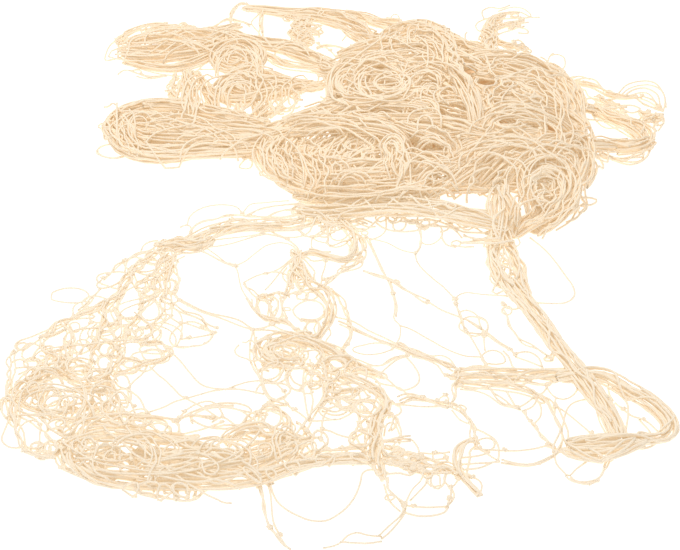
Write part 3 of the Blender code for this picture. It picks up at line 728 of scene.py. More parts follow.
# folded hanks and swirls on the left of the heap; rows are x, y, wide, tall, lift
leftHeap = {
    "seed": 100,
    "hanks": {
        "sheaf": dict(turn=0.15, stray=0.12, rows=[(127,51,50,14), (142,52,52,18), (165,52,52,20),
            (190,50,48,20), (212,45,38,18), (230,37,28,15), (251,42,24,13), (284,47,32,13), (305,55,28,14),
            (336,68,24,12)]),
        "sheafEdge": dict(stray=0.2, rows=[(128,61,18,6), (150,67,22,8), (170,69,22,8), (192,64,20,10),
            (212,56,14,10)]),
        "sheafTop": dict(stray=0.2, turn=0.2, rows=[(128,43,22,8,5), (145,39,24,10,6), (165,36,26,12,6),
            (190,35,26,12,6), (215,31,18,8,4), (238,26,12,6)]),
        "swirlBack": [(209,46,16,12), (222,44,16,13,2), (240,43,16,13,2), (256,49,16,12), (261,58,16,12),
            (252,68,16,12), (234,71,16,12), (219,66,16,12), (213,56,12,12)],
        "swirlBackFill": [(214,60,22,8), (236,60,34,8), (256,62,22,8)],
        "swirlBackHeart": [(224,61,10,10), (226,54,10,12), (238,50,10,12), (249,55,10,12), (244,63,10,10),
            (232,63,8,8), (234,57,6,8)],
        "ropeBack": dict(stray=0.15, rows=[(248,8,5,4), (260,9,8,6), (273,11,11,9), (296,14,22,11),
            (320,15,34,13), (345,22,36,16), (362,34,30,17), (386,47,28,14)]),
        "ropeBackTop": dict(stray=0.15, rows=[(318,12,8,6,4), (343,15,14,10,4), (362,17,18,10,2),
            (380,23,18,10), (398,31,16,8)]),
        "postBack": dict(stray=0.3, rows=[(262,11,6,5), (262,24,7,5), (261,38,6,5)]),
        "swirlMid": dict(stray=0.12, rows=[(288,80,12,12), (264,73,16,13), (242,73,16,13), (224,82,16,13),
            (216,93,14,12), (230,101,14,12), (250,100,16,13), (272,94,16,13), (300,89,14,13)]),
        "swirlMidFill": [(220,90,26,8), (245,90,36,8), (270,88,26,8), (292,87,16,8)],
        "swirlMidHeart": [(268,84,10,12), (248,80,12,13), (233,87,12,12), (242,94,12,12), (262,92,10,12),
            (284,86,10,12)],
        "bandSecond": dict(stray=0.2, rows=[(248,46,8,5,4), (268,57,14,6), (285,65,22,6), (303,68,20,6),
            (322,72,16,6), (336,78,8,5,2)]),
        "tailMidLeft": dict(stray=0.1, rows=[(254,79,18,10,6), (278,84,34,12,2), (298,87,38,12),
            (317,88,38,8)]),
        "dropLeft": dict(stray=0.3, gap=3.0, rows=[(188,71,10,6), (188,82,20,10), (186,97,22,12),
            (182,112,22,14,4), (176,128,18,10,14)]),
        "dropMid": dict(stray=0.3, rows=[(197,73,8,5), (206,90,14,9), (213,104,14,10,4), (216,124,14,10,10)]),
        "dropRight": dict(stray=0.4, rows=[(254,82,14,8), (256,100,16,8), (262,124,14,8)]),
        "dropEdge": dict(stray=0.3, rows=[(238,100,10,8), (240,112,12,8,4), (246,128,10,8,8)]),
        "hankOuter": [(268,127,22,16), (238,120,26,18), (205,115,28,20), (170,109,32,20), (142,110,28,20),
            (122,116,22,18), (111,127,20,16), (117,139,22,16), (130,149,28,18), (160,154,30,20),
            (200,152,28,18), (235,151,24,16), (268,148,20,14)],
        "hankInner": [(268,136,22,14,4), (225,130,26,18,4), (190,125,26,18,6), (155,121,26,18,7),
            (133,121,20,16,6), (125,129,16,14,5), (136,137,22,16,5), (165,141,28,18,6), (205,142,26,18,5),
            (254,143,20,14,4)],
        "hankCore": [(128,126,12,8,8), (150,130,28,12,12), (185,133,34,12,12), (220,136,26,12,10),
            (260,139,18,12,8)],
        "hankFan": [(126,112,16,8,10), (128,122,18,8,14), (136,132,18,8,14), (148,140,16,8,12)],
        "hankUpper": dict(turn=0.2, rows=[(146,106,14,8,14), (175,106,20,10,14), (205,113,20,10,14),
            (235,121,18,10,12), (268,124,16,10,8)]),
        "junction": [(236,128,30,10,2), (262,132,38,12,2), (290,132,38,12,2), (322,128,30,10,2)],
        "lobeBase": [(268,148,26,5), (290,156,44,6), (314,164,52,6), (338,170,40,6)],
        "lobe": [(270,139,18,12,4), (263,153,20,14,2), (270,166,22,14), (285,179,24,14), (308,193,22,12)],
        "lobeSecond": [(280,140,16,10,6), (272,154,18,12,8), (278,168,22,12,6), (296,182,22,12,4),
            (322,194,18,10)],
        "lobeThird": [(294,142,14,10,4), (288,156,18,12,8), (298,170,20,12,8), (314,184,18,10,4),
            (330,194,12,8)],
        "lobeFourth": [(304,146,12,8,2), (304,158,16,10,6), (316,172,18,10,6), (332,184,14,8,2)],
    },
}
lines, rings = hanksOf(leftHeap["hanks"], leftHeap["seed"])
leftTop = lines + rings
twineMesh("leftHeap", parted(lines), parted(rings), cottonLook)

# rows of gathered netting over the mound
heapRows = {
    "seed": 200,
    "gap": 5.0,
    "hanks": {
        "bandMid": [(252,140,26,14), (275,131,32,16), (297,123,36,16), (325,117,40,18), (355,113,44,18),
            (390,112,44,18), (425,114,36,16)],
        "bandUpper": [(290,118,20,10,2), (325,108,24,14,4), (360,104,26,14,6), (395,103,26,14,6),
            (430,108,20,10,2)],
        "bandLower": [(262,141,20,10,4), (290,134,24,12,6), (325,129,26,12,6), (360,127,26,12,6),
            (392,133,22,12,6), (410,147,14,8)],
        "bandLow": [(300,166,30,12), (340,172,44,14), (380,172,44,14), (420,168,40,14), (458,160,30,12)],
        "rowBack": [(368,20,20,10), (392,25,28,13), (420,28,30,15), (446,38,28,15), (476,50,24,13),
            (502,58,22,12)],
        "rowOne": [(338,54,20,12), (368,47,34,14), (400,45,38,16), (435,50,40,16), (472,64,34,14)],
        "rowTwo": [(331,74,24,12), (358,70,36,14), (395,68,40,14), (430,74,40,14), (464,88,34,14)],
        "rowThree": [(334,97,26,12), (365,92,40,14), (405,93,42,14), (445,100,42,14), (482,112,34,14)],
        "rowFour": [(425,134,40,12), (468,132,42,14), (504,129,34,14), (540,130,28,12)],
        "rowLow": [(298,193,24,10), (325,195,28,12), (365,191,30,12), (410,187,34,12), (450,184,30,12),
            (484,184,26,10)],
        "rowRightBack": [(488,58,26,10,2), (525,62,32,12,2), (553,73,30,12,2), (573,90,26,12),
            (581,110,18,10)],
        "rowRightMid": [(470,112,30,10), (500,104,40,12), (530,104,40,14), (560,114,34,12), (581,130,20,10)],
        "rowFlank": [(475,72,30,10), (505,78,44,12), (538,90,42,12), (570,108,26,10)],
        "rowFlankLow": [(480,92,34,10), (520,97,38,12), (550,106,32,12), (578,122,20,10)],
        "rowRightLow": [(447,178,26,12), (466,164,38,12), (492,152,42,14), (525,146,42,14),
            (558,146,36,12), (583,152,20,10)],
        "edgeRight": [(577,112,14,8), (586,130,18,12), (588,150,18,12), (584,170,18,12), (573,190,14,8)],
        "swirlFloor": [(500,186,24,10), (520,182,40,12), (550,186,46,12), (568,204,34,10), (545,222,24,8)],
    },
}
lines, rings = hanksOf(heapRows["hanks"], heapRows["seed"], gap=heapRows["gap"])
heapTop = leftTop + lines + rings
twineMesh("heapRows", parted(lines), parted(rings), cottonLook)

# long twines just under the rows, one half across the mound and one half along it
heapUnder = {
    "seed": 30,
    "half": 75,                  # how many twines go each way
    "wide": 0.80,                # shares of the mound that they cover
    "back": 0.80,
    "front": 0.66,
    "depth": 0.005,
    "uneven": 0.002,
    "wander": 0.24,
    "step": 0.011,
}


def underTwines(setup):
    rng = np.random.default_rng(setup["seed"])
    lines = []
    for k in range(2 * setup["half"]):
        t = np.linspace(-1, 1, 40)
        offset = (k % setup["half"] + 0.5) / setup["half"] * 2 - 1
        span = math.sqrt(1 - offset ** 2)
        wave = slowWave(rng, t, 0.8) * setup["wander"]
        across, along = (t * span, offset + wave) if k < setup["half"] else (offset + wave, t * span)
        reach = np.where(along > 0, mound["reachBack"] * setup["back"], mound["reachFront"] * setup["front"])
        line = np.stack([mound["middle"][0] + across * mound["halfWide"] * setup["wide"],
                         mound["middle"][1] + along * reach, 0 * t], axis=1)
        depth = setup["depth"] + rng.uniform(-setup["uneven"], setup["uneven"])
        line[:, 2] = moundHeight(line[:, 0], line[:, 1]) - depth
        lines.append(settle(evenSteps(line, setup["step"])[0]))
    return lines


twineMesh("heapUnder", parted(underTwines(heapUnder)), [], cottonLook)

# shorter skeins over the far rows; their ends dive into the heap
skeinsBack = {
    "seed": 300,
    "dip": 10.0,
    "hanks": [
        # far side and dome
        [(376,47,14,8,2), (384,36,20,10,4), (397,29,18,10,4), (412,26,12,8,2)],
        [(400,30,16,8,2), (416,25,24,12,5), (434,29,26,12,6), (448,42,22,12,5), (454,60,14,8,2)],
        [(404,44,12,8,2), (418,34,18,10,6), (434,38,20,10,6), (446,52,16,8,3), (450,66,10,8)],
        [(344,52,18,8,4), (372,45,24,12,6), (402,44,24,12,6), (428,51,22,10,4), (450,62,14,8,2)],
        [(336,60,12,8,3), (365,56,20,10,5), (398,57,20,10,5), (428,59,20,10,5), (456,68,12,8,2)],
        [(330,70,12,8,3), (345,63,18,10,6), (372,60,20,10,7), (398,66,20,10,7), (415,77,18,10,5),
            (440,86,14,8,2)],
        [(396,66,12,8,3), (418,62,18,10,6), (438,64,18,10,6), (452,76,12,8,2)],
        # swirl with a hollow middle and the folds beside it
        [(370,84,10,8,4), (376,76,12,8,6), (392,73,14,8,7), (408,78,14,8,7), (411,87,12,8,6),
            (396,92,12,8,6), (378,91,10,8,4)],
        [(334,100,12,8,3), (331,84,14,10,6), (338,71,14,10,7), (352,67,12,8,5), (356,80,12,8,4),
            (354,96,10,6,2)],
        [(344,96,10,6,2), (342,84,10,8,5), (346,75,10,8,5), (352,84,8,6,3)],
        [(364,96,10,6,2), (358,82,12,8,6), (362,71,12,8,7), (374,70,12,8,5), (380,82,10,6,2)],
        [(330,88,10,8,2), (342,98,16,10,5), (368,101,22,10,7), (396,101,22,10,7), (416,96,16,8,4),
            (428,84,10,6)],
        [(408,96,12,8,2), (418,82,14,8,5), (432,76,14,8,5), (446,82,12,8,2)],
        # long skein that crosses all rows
        [(446,38,16,8,4), (451,55,18,10,9), (457,70,20,12,12), (467,86,22,12,13), (474,104,20,12,12),
            (479,126,14,10,6)],
        [(476,80,10,6,4), (486,96,16,8,8), (490,110,16,8,7), (496,128,10,6,2)],
        [(440,92,8,6,2), (446,82,10,6,5), (456,90,10,6,6), (456,101,10,6,5), (442,103,8,6,2)],
        [(402,132,8,6,2), (404,116,8,6,7), (412,105,8,6,8), (425,101,8,6,8), (436,108,8,6,7),
            (439,130,8,6,2)],
        # right hand dome
        [(458,58,14,8,2), (480,56,22,10,5), (505,57,24,12,6), (530,61,24,12,6), (550,72,18,10,4),
            (560,88,10,8)],
        [(486,68,12,8,2), (505,65,22,10,6), (528,70,24,12,7), (548,82,22,12,6), (562,98,16,10,3),
            (568,114,10,8)],
        [(494,76,10,8,2), (515,79,20,10,6), (538,88,20,10,6), (556,100,14,8,3), (566,114,10,8)],
        [(538,60,12,8,2), (556,70,20,10,4), (569,83,20,10,4), (578,99,16,10,3), (582,118,10,8)],
        [(553,76,10,8,2), (565,90,14,10,6), (572,105,12,8,4), (574,122,10,6)],
        [(477,90,10,6,2), (495,90,14,8,5), (514,95,18,8,6), (532,103,18,8,5), (550,114,12,8,2)],
        [(500,88,8,6,4), (494,81,8,6,6), (504,77,8,6,7), (514,81,8,6,6), (508,88,8,6,4)],
    ],
}
lines, rings = hanksOf(skeinsBack["hanks"], skeinsBack["seed"], dip=skeinsBack["dip"])
heapTop += lines + rings
twineMesh("skeinsBack", parted(lines), parted(rings), cottonLook)

# the same over the near rows
skeinsFront = {
    "seed": 360,
    "dip": 10.0,
    "hanks": [
        # right hand dome
        [(476,126,10,8,2), (490,113,18,10,7), (514,109,26,12,10), (540,115,26,12,10), (562,127,20,10,6),
            (580,140,12,8,2)],
        [(474,124,10,8), (496,131,18,10,5), (522,132,22,10,5), (548,136,20,10,4), (574,140,12,8,2)],
        [(478,178,14,8,5), (490,170,22,12,6), (508,157,26,12,9), (534,146,26,12,9), (560,140,22,12,7),
            (584,134,12,8,2)],
        [(452,176,14,8,2), (470,158,24,12,7), (492,146,28,12,9), (518,140,26,12,8), (548,142,22,10,6),
            (578,150,12,8,2)],
        [(446,156,12,8,2), (470,144,20,10,6), (500,138,22,10,6), (530,138,20,10,5), (560,146,12,8,2)],
        # lower swirl
        [(500,184,16,10,4), (516,165,26,12,8), (542,156,28,12,9), (565,160,26,12,8), (574,178,22,12,6),
            (570,198,22,12,5), (557,215,20,12,4), (536,227,12,8,2)],
        [(523,184,10,8,4), (532,172,16,10,8), (549,169,18,10,9), (562,180,18,10,8), (562,197,16,10,7),
            (548,210,14,8,5), (530,212,10,8,2)],
        [(530,190,8,6,4), (541,182,12,8,8), (553,188,12,8,8), (553,201,10,8,6), (541,207,8,6,4)],
        [(518,158,12,8,4), (524,176,18,10,9), (530,194,18,10,9), (534,212,16,8,6), (541,232,10,6)],
        [(498,186,12,8,3), (508,203,18,10,6), (513,218,18,10,5), (509,234,12,8,1)],
        [(580,162,12,8,2), (571,184,20,12,7), (556,203,26,12,8), (536,218,24,12,5), (512,229,14,8,1)],
        # left foot of the mound
        [(316,180,12,6,1), (330,169,18,10,4), (348,162,18,8,5), (370,160,18,8,4), (392,166,12,6,1)],
        [(326,184,8,6,3), (340,175,10,6,6), (354,163,10,6,6), (362,156,8,6,3)],
        [(344,198,8,6,2), (339,184,10,6,4), (348,174,12,6,5), (360,180,10,6,4), (362,196,8,6,1)],
        [(298,194,12,8,1), (322,189,18,10,4), (350,191,22,10,5), (380,191,22,10,5), (410,188,18,10,4),
            (436,186,12,8,1)],
        [(396,136,12,8,3), (402,150,18,10,9), (404,166,20,10,9), (399,182,16,10,5), (388,196,10,6,1)],
        [(380,142,10,8,2), (389,154,16,10,6), (390,169,16,10,6), (382,182,12,8,3), (372,194,10,6)],
        [(408,192,14,8,1), (424,177,24,12,6), (444,168,26,12,7), (464,160,18,10,5), (486,150,12,8,1)],
        [(418,198,10,8,1), (440,189,18,10,4), (458,179,20,10,6), (474,167,18,10,6), (492,154,12,8,2)],
        [(392,120,12,8,3), (416,130,22,12,8), (438,138,22,12,8), (456,150,16,10,5), (468,164,10,8,1)],
        [(404,119,12,8,3), (436,121,20,10,7), (462,128,22,12,7), (486,136,20,10,6), (516,139,12,8,2)],
        [(404,156,12,8,2), (430,155,22,10,5), (455,155,22,10,5), (474,164,12,8,1)],
        [(300,126,14,8,3), (340,120,20,10,8), (380,119,22,10,8), (408,126,12,8,3)],
        [(256,132,12,8,4), (290,123,20,10,9), (330,112,20,10,8), (365,110,14,8,4)],
    ],
}
lines, rings = hanksOf(skeinsFront["hanks"], skeinsFront["seed"], dip=skeinsFront["dip"])
heapTop += lines + rings
twineMesh("skeinsFront", parted(lines), parted(rings), cottonLook)

# arcs, coils and loose nests that lie on top of the heap
heapArcs = {
    "seed": 390,
    "arcs": [
        # dome and far rows
        (402,43,21,17,95,185,6), (418,52,34,27,-5,115,9), (414,36,8,12,60,230,3), (385,64,48,20,25,160,7),
        (425,84,36,25,20,160,6), (372,88,42,25,35,150,6), (478,58,22,16,200,330,4),
        # left coils, the eye and the folds under it
        (348,82,18,18,80,280,6), (347,83,9,10,0,400,2), (372,83,16,18,85,265,4), (364,83,6,14,60,300,2),
        (390,83,20,10,0,420,3), (402,86,8,10,-80,90,3), (378,82,44,20,200,345,8), (448,93,13,8,30,250,3),
        (432,92,14,10,20,200,3), (422,122,17,19,-5,185,2),
        # right hand dome
        (516,112,58,52,5,100,12), (520,100,36,24,10,120,6), (505,83,12,8,0,430,2), (504,84,5,4,0,400,1),
        (518,138,48,30,15,165,9), (512,116,26,12,200,340,4), (500,165,70,32,20,130,8),
        (570,160,40,22,95,170,4),
        # lower swirl and the right foot
        (520,190,58,46,100,158,9), (548,184,30,28,-40,200,8), (546,184,18,15,-20,210,6),
        (546,196,12,7,20,300,3), (560,160,32,32,-55,60,6), (535,185,44,46,-75,10,8),
        (560,188,36,34,140,225,5), (532,214,30,28,110,180,5),
        # lobe and the tangle at the left foot
        (285,155,26,26,130,250,6), (270,180,34,40,5,70,7), (290,175,34,34,0,70,5),
        (288,168,10,9,100,330,3), (340,168,15,9,50,210,3), (354,180,20,11,20,190,4),
        (392,150,12,14,-60,200,5), (385,165,26,30,-50,50,6), (400,160,12,16,120,260,3),
        (425,152,32,22,15,130,7), (425,175,40,24,40,140,6), (450,190,26,22,90,175,4),
        (350,180,60,14,200,340,6), (420,200,50,20,60,140,5), (330,140,60,22,40,150,6),
    ],
    "leftSeed": 391,
    "leftArcs": [
        (238,66,27,27,5,175,8), (233,56,12,9,10,330,3), (246,62,14,13,-60,90,4), (180,56,60,22,25,150,7),
        (240,98,27,25,60,190,8), (240,94,21,14,20,190,3), (234,92,38,30,-50,60,9),
        (262,98,34,22,-60,50,6), (286,100,16,15,95,260,4), (200,95,16,24,100,250,5),
        (178,100,18,30,-45,40,5), (142,128,26,18,80,250,7), (112,145,34,40,5,70,6),
        (190,150,80,34,50,130,6), (240,160,60,30,60,140,6), (305,96,22,16,100,200,5),
    ],
    "nestSeed": 240,
    "nestCommon": dict(span=0.05, small=0.004, large=0.01, whole=0.4),
    "nests": {
        "nestLobe": dict(count=30, curls=1.0, small=0.005, large=0.012, rows=[(270,148,50,6),
            (296,160,84,10), (330,168,96,10), (370,168,84,10), (404,162,44,8)]),
        "nestHollow": dict(count=16, curls=0.9, small=0.005, large=0.012, rows=[(304,142,30,4),
            (330,148,44,4), (362,146,44,4), (392,140,26,4)]),
        "nestSwirl": dict(count=16, curls=0.8, small=0.005, large=0.012, rows=[(506,196,30,6),
            (530,184,60,10), (556,190,60,10), (560,210,40,6)]),
        "nestCrest": dict(count=10, curls=0.8, rows=[(400,34,20,6), (430,34,34,8), (462,50,34,8),
            (500,58,30,6)]),
        "nestSaddle": dict(count=14, curls=0.8, rows=[(340,92,30,8), (385,96,44,14), (430,98,44,14),
            (470,118,40,12)]),
        "nestRight": dict(count=14, curls=0.7, rows=[(480,84,40,10), (520,92,60,14), (556,110,44,10),
            (580,130,24,8)]),
        "nestLow": dict(count=14, curls=0.8, rows=[(400,176,40,10), (440,166,50,14), (480,158,50,14),
            (530,150,40,14), (574,150,30,10)]),
    },
}
loose = arcTwines(heapArcs["arcs"], topMap(heapTop), heapArcs["seed"])
loose += arcTwines(heapArcs["leftArcs"], topMap(leftTop), heapArcs["leftSeed"])
loose += bandsOf(heapArcs["nests"], heapArcs["nestSeed"], **heapArcs["nestCommon"])
twineMesh("heapArcs", parted(loose), [], cottonLook)

# thin spurs and tails that leave the heap, and the fringe round its far side
backEdges = {
    "seed": 400,
    "hanks": {
        "spike": dict(stray=0.3, gap=3.0, rows=[(491,54,16,9), (489,38,20,9), (491,24,18,8), (500,15,12,6)]),
        "spikeBranch": dict(stray=0.4, rows=[(498,42,10,5), (510,46,14,6), (524,47,16,6)]),
        "tailTop": dict(stray=0.3, rows=[(574,84,20,8), (592,88,18,8), (606,95,10,7), (622,98,9,6),
            (640,97,6,4)]),
        "tailMid": dict(stray=0.3, rows=[(580,107,18,9), (598,112,18,8), (616,120,28,8), (632,126,38,9),
            (642,133,34,9), (645,140,20,8)]),
        "tailLow": dict(stray=0.1, rows=[(584,144,14,10), (602,146,28,12), (622,147,34,12),
            (638,145,30,11), (648,141,18,8)]),
        "tailFoot": dict(stray=0.2, rows=[(584,142,14,8), (590,158,18,10), (590,172,20,10), (586,184,12,6)]),
    },
    "bandSeed": 480,
    "bands": {
        "sheafTop": dict(count=10, curls=1.4, rows=[(126,42,14,4), (148,31,16,4), (172,27,16,4),
            (198,31,14,4), (214,36,10,6)]),
        "sheafEnd": dict(count=9, curls=1.5, span=0.03, rows=[(116,52,8,4), (119,44,18,4), (128,38,12,3)]),
        "sheafUnder": dict(count=5, curls=1.3, large=0.005, rows=[(128,72,10,3), (150,78,12,3),
            (172,78,10,3)]),
        "fringeBack": dict(count=22, curls=1.2, large=0.007, rows=[(296,14,26,6), (302,24,42,8),
            (306,36,44,8), (308,50,36,6)]),
        "fringeInner": dict(count=8, curls=1.2, large=0.007, rows=[(280,46,20,6), (298,44,24,6),
            (314,46,14,5)]),
        "dropLeft": dict(count=9, curls=1.3, rows=[(176,74,10,4), (174,86,20,6), (176,98,18,6),
            (182,110,10,6)]),
        "dropMiddle": dict(count=6, curls=1.0, rows=[(252,82,14,6), (262,98,22,6), (262,114,20,6)]),
        "bandGap": dict(count=7, curls=1.0, rows=[(258,124,16,6), (282,110,24,4), (300,104,20,4)]),
        "heapFoot": dict(count=6, curls=0.8, span=0.05, small=0.004, large=0.007, rows=[(290,200,12,4),
            (298,194,16,8), (330,200,14,8)]),
        "tailLace": dict(count=8, curls=1.0, span=0.05, small=0.004, large=0.007, rows=[(582,96,24,5),
            (605,106,34,5), (632,110,32,5)]),
        "tailKnots": dict(count=18, curls=1.5, span=0.03, rows=[(642,110,20,5), (652,118,36,8),
            (654,128,26,8)]),
        "spikeLace": dict(count=9, curls=1.3, rows=[(488,44,16,8), (490,26,20,8), (504,16,18,5),
            (522,14,12,4)]),
        "spikeFork": dict(count=10, curls=1.2, rows=[(496,30,22,6), (510,27,30,5), (526,22,14,4)]),
        "laceBack": dict(count=9, curls=1.3, span=0.035, rows=[(296,16,24,3), (305,26,36,4), (304,36,38,4),
            (296,45,34,4), (290,52,20,3)]),
    },
    "runSeed": 420,
    "runs": [
        (1, (116,40), (108,50), (105,60), (112,60), (124,57)), (1, (118,76), (124,71), (132,71), (140,69)),
        (1, (200,70), (215,70), (235,71), (258,71)), (1, (252,44), (268,50), (290,57), (310,62), (334,68)),
        (2, (262,48), (280,52), (300,55), (318,60), (334,66)), (1, (232,21), (230,14), (236,7), (246,5)),
        (2, (318,50), (326,46), (336,47), (345,52)), (1, (318,44), (328,50), (336,58)),
        (2, (200,36), (214,28), (228,20), (240,22), (252,28)), (1, (205,34), (222,26), (234,27)),
        (2, (213,84), (212,100), (215,122)), (1, (200,74), (203,86), (210,96)),
        (1, (245,160), (239,168), (250,169), (252,161), (247,158)),
        (2, (298,138,6), (308,150,2), (318,157,4), (330,150,4), (347,140,8)),
        (2, (310,142,2), (322,148,2), (338,146,2), (354,140,6)),
        (1, (306,160,4), (312,148,2), (322,142,2), (332,141,4)),
        (1, (336,158,3), (338,147,2), (346,144,2), (352,152,2)),
        (2, (487,46,8), (487,60,10), (491,72,10), (502,82,9), (508,86,6)),
        (1, (117,103,16), (117,118,22), (117,134,20), (118,152,2)),
        (2, (384,66,10), (420,68,12), (448,76,12)), (1, (330,60,6), (322,70,2), (326,84,3), (332,96,4)),
        (1, (446,62,12), (456,80,16), (470,98,16), (486,112,12)),
        (1, (470,60,8), (490,66,10), (512,62,10), (534,68,8)),
        (1, (520,90,8), (540,84,8), (556,90,8), (562,104,6)),
        (1, (400,184,8), (420,170,12), (446,160,12), (470,146,14), (500,134,14)),
        (1, (458,138,14), (462,150,12), (461,164,10), (467,178,8), (468,188,3)),
        (1, (540,130,14), (542,144,14), (530,152,14)), (1, (505,140,14), (502,152,14), (492,166,12)),
        (1, (574,138,12), (560,148,14), (546,152,14)),
        (2, (590,134,10), (578,142,12), (560,154,14), (548,158,14)),
        (1, (576,150,10), (578,168,12), (577,190,10), (572,210,6)),
        (2, (566,222), (578,216), (584,206), (580,198)),
        (1, (580,199), (590,199), (597,201), (592,205), (580,207)), (1, (577,210), (570,222), (556,231)),
        (1, (588,156), (602,156), (615,162), (630,165), (645,160), (651,148)),
        (1, (640,152), (652,150), (652,138), (646,128)),
        (1, (620,98), (628,90), (640,86), (652,86), (662,92), (665,102), (663,112)),
        (1, (624,97), (634,91), (646,89), (657,95), (660,106)),
        (1, (628,97), (638,94), (648,95), (655,102), (657,110)),
        (1, (616,98), (626,86), (641,82), (655,84), (664,96), (666,108)),
        (1, (576,80), (586,79), (596,82), (604,92)), (1, (573,79), (580,77), (590,80)),
        (1, (608,96), (606,92), (610,91), (614,95)), (2, (636,100), (644,106), (654,110), (664,112)),
        (2, (640,98), (652,102), (662,110)),
        (1, (584,100), (592,99), (604,102), (618,106), (632,106), (640,110), (632,114), (620,110)),
        (1, (584,104), (596,106), (610,112), (624,114), (630,120)),
        (1, (580,116), (588,120), (600,122), (616,124), (632,130)),
        (1, (640,112), (648,116), (660,114), (664,122), (658,132)),
        (1, (484,20), (482,12), (490,8), (500,9), (510,6)),
        (1, (498,12), (512,8), (524,10), (531,16), (526,19), (510,18)),
        (1, (500,20), (516,19), (530,18), (540,18)), (1, (500,14), (512,12), (522,14), (530,18)),
        (2, (492,34), (502,28), (514,24), (526,20)), (2, (494,30), (504,24), (516,21), (524,21)),
        (1, (498,36), (508,32), (518,28), (526,30), (528,34), (518,34)),
        (3, (496,38), (504,44), (514,48), (524,50)),
        (2, (512,44), (518,42), (523,46), (524,52), (516,50), (510,46)),
        (2, (466,46), (470,43), (474,47), (471,51), (466,49)), (1, (466,44), (465,36), (467,33)),
        (1, (548,62), (550,57), (557,55), (564,58), (565,66), (562,71)),
        (2, (254,9), (243,4), (236,7), (232,15), (230,24)), (1, (256,10), (248,12), (243,9)),
        (4, (596,153), (610,159), (626,162), (640,158), (648,149)),
        (3, (117,41), (127,33), (140,28), (153,25), (167,26)), (2, (124,39), (136,31), (150,30), (160,28)),
    ],
    "knots": dict(count=60, seed=490, ends=0.15),
}
lines, rings = hanksOf(backEdges["hanks"], backEdges["seed"])
loose = bandsOf(backEdges["bands"], backEdges["bandSeed"]) + runsOf(backEdges["runs"], backEdges["runSeed"])
twineMesh("backEdges", lines + loose, rings + knotsOn(loose, **backEdges["knots"]), cottonLook)

# folded band, leaves and coils at the front left
frontFolds = {
    "seed": 500,
    "common": dict(gap=4.2, loose=2.0, stray=0.25),
    "hanks": {
        "leafLeft": dict(gap=5.5, rows=[(16,400,8,5), (24,389,16,7), (40,378,24,8), (56,369,26,8),
            (68,364,16,6)]),
        "leafMiddle": dict(gap=5.5, rows=[(62,376,12,5), (78,382,16,6), (96,386,22,8), (108,378,18,8),
            (110,366,12,6)]),
        "blockLeft": dict(gap=5.5, rows=[(92,386,10,5), (92,396,20,8), (92,408,22,8), (84,420,14,7),
            (77,432,12,6), (72,446,10,5)]),
        "arcLeft": [(18,402,6,4), (30,394,9,5,4), (48,389,10,5,6), (75,390,11,5,6), (100,391,10,5,5),
            (118,392,6,4)],
        "arcUnder": [(19,402,6,4), (27,409,10,5), (42,414,13,6), (60,415,13,6), (80,412,12,6),
            (100,406,8,4)],
        "knotLeft": dict(gap=3.0, stray=0.3, rows=[(160,248,14,6), (176,245,22,9), (194,246,22,9),
            (208,240,14,7)]),
        "bandUpper": dict(gap=3.5, stray=0.1, rows=[(62,452,14,5), (74,441,14,6), (100,436,16,7,2),
            (140,438,18,7,4), (180,444,18,7,5), (215,453,16,7,5), (240,464,14,6,4), (266,484,10,5)]),
        "bandTop": dict(gap=3.5, stray=0.1, rows=[(78,436,8,4), (100,430,10,5), (140,434,10,5),
            (170,437,8,5), (194,438,6,4)]),
        "bandCore": [(132,454,14,7), (155,459,32,10), (185,462,38,11), (215,464,38,12), (245,463,36,11),
            (270,456,26,9), (292,446,12,6)],
        "bandLower": dict(gap=3.5, stray=0.1, rows=[(82,466,14,6), (98,476,20,8), (130,480,30,9),
            (165,480,32,10), (200,480,32,10), (232,480,30,10), (262,477,22,9), (290,469,14,7),
            (320,461,10,5), (350,459,10,5), (376,461,8,4)]),
        "bandRight": [(226,440,10,6), (245,432,22,8), (265,434,24,9), (284,436,16,7), (300,440,8,4)],
        "bandLeft": [(86,440,12,5), (82,452,14,7), (86,464,14,7), (98,476,12,6)],
        "bandLoop": [(98,444,6,4,8), (116,441,7,4,11), (138,445,7,4,12), (152,454,7,4,12),
            (156,466,7,4,12), (150,479,6,4,9)],
        "bandSlant": [(240,464,8,4,8), (252,473,8,4,10), (262,482,7,4,6), (268,488,5,4)],
    },
}
lines, rings = hanksOf(frontFolds["hanks"], frontFolds["seed"], **frontFolds["common"])
floorTop = lines + rings
twineMesh("frontFolds", lines, rings, frontLook)

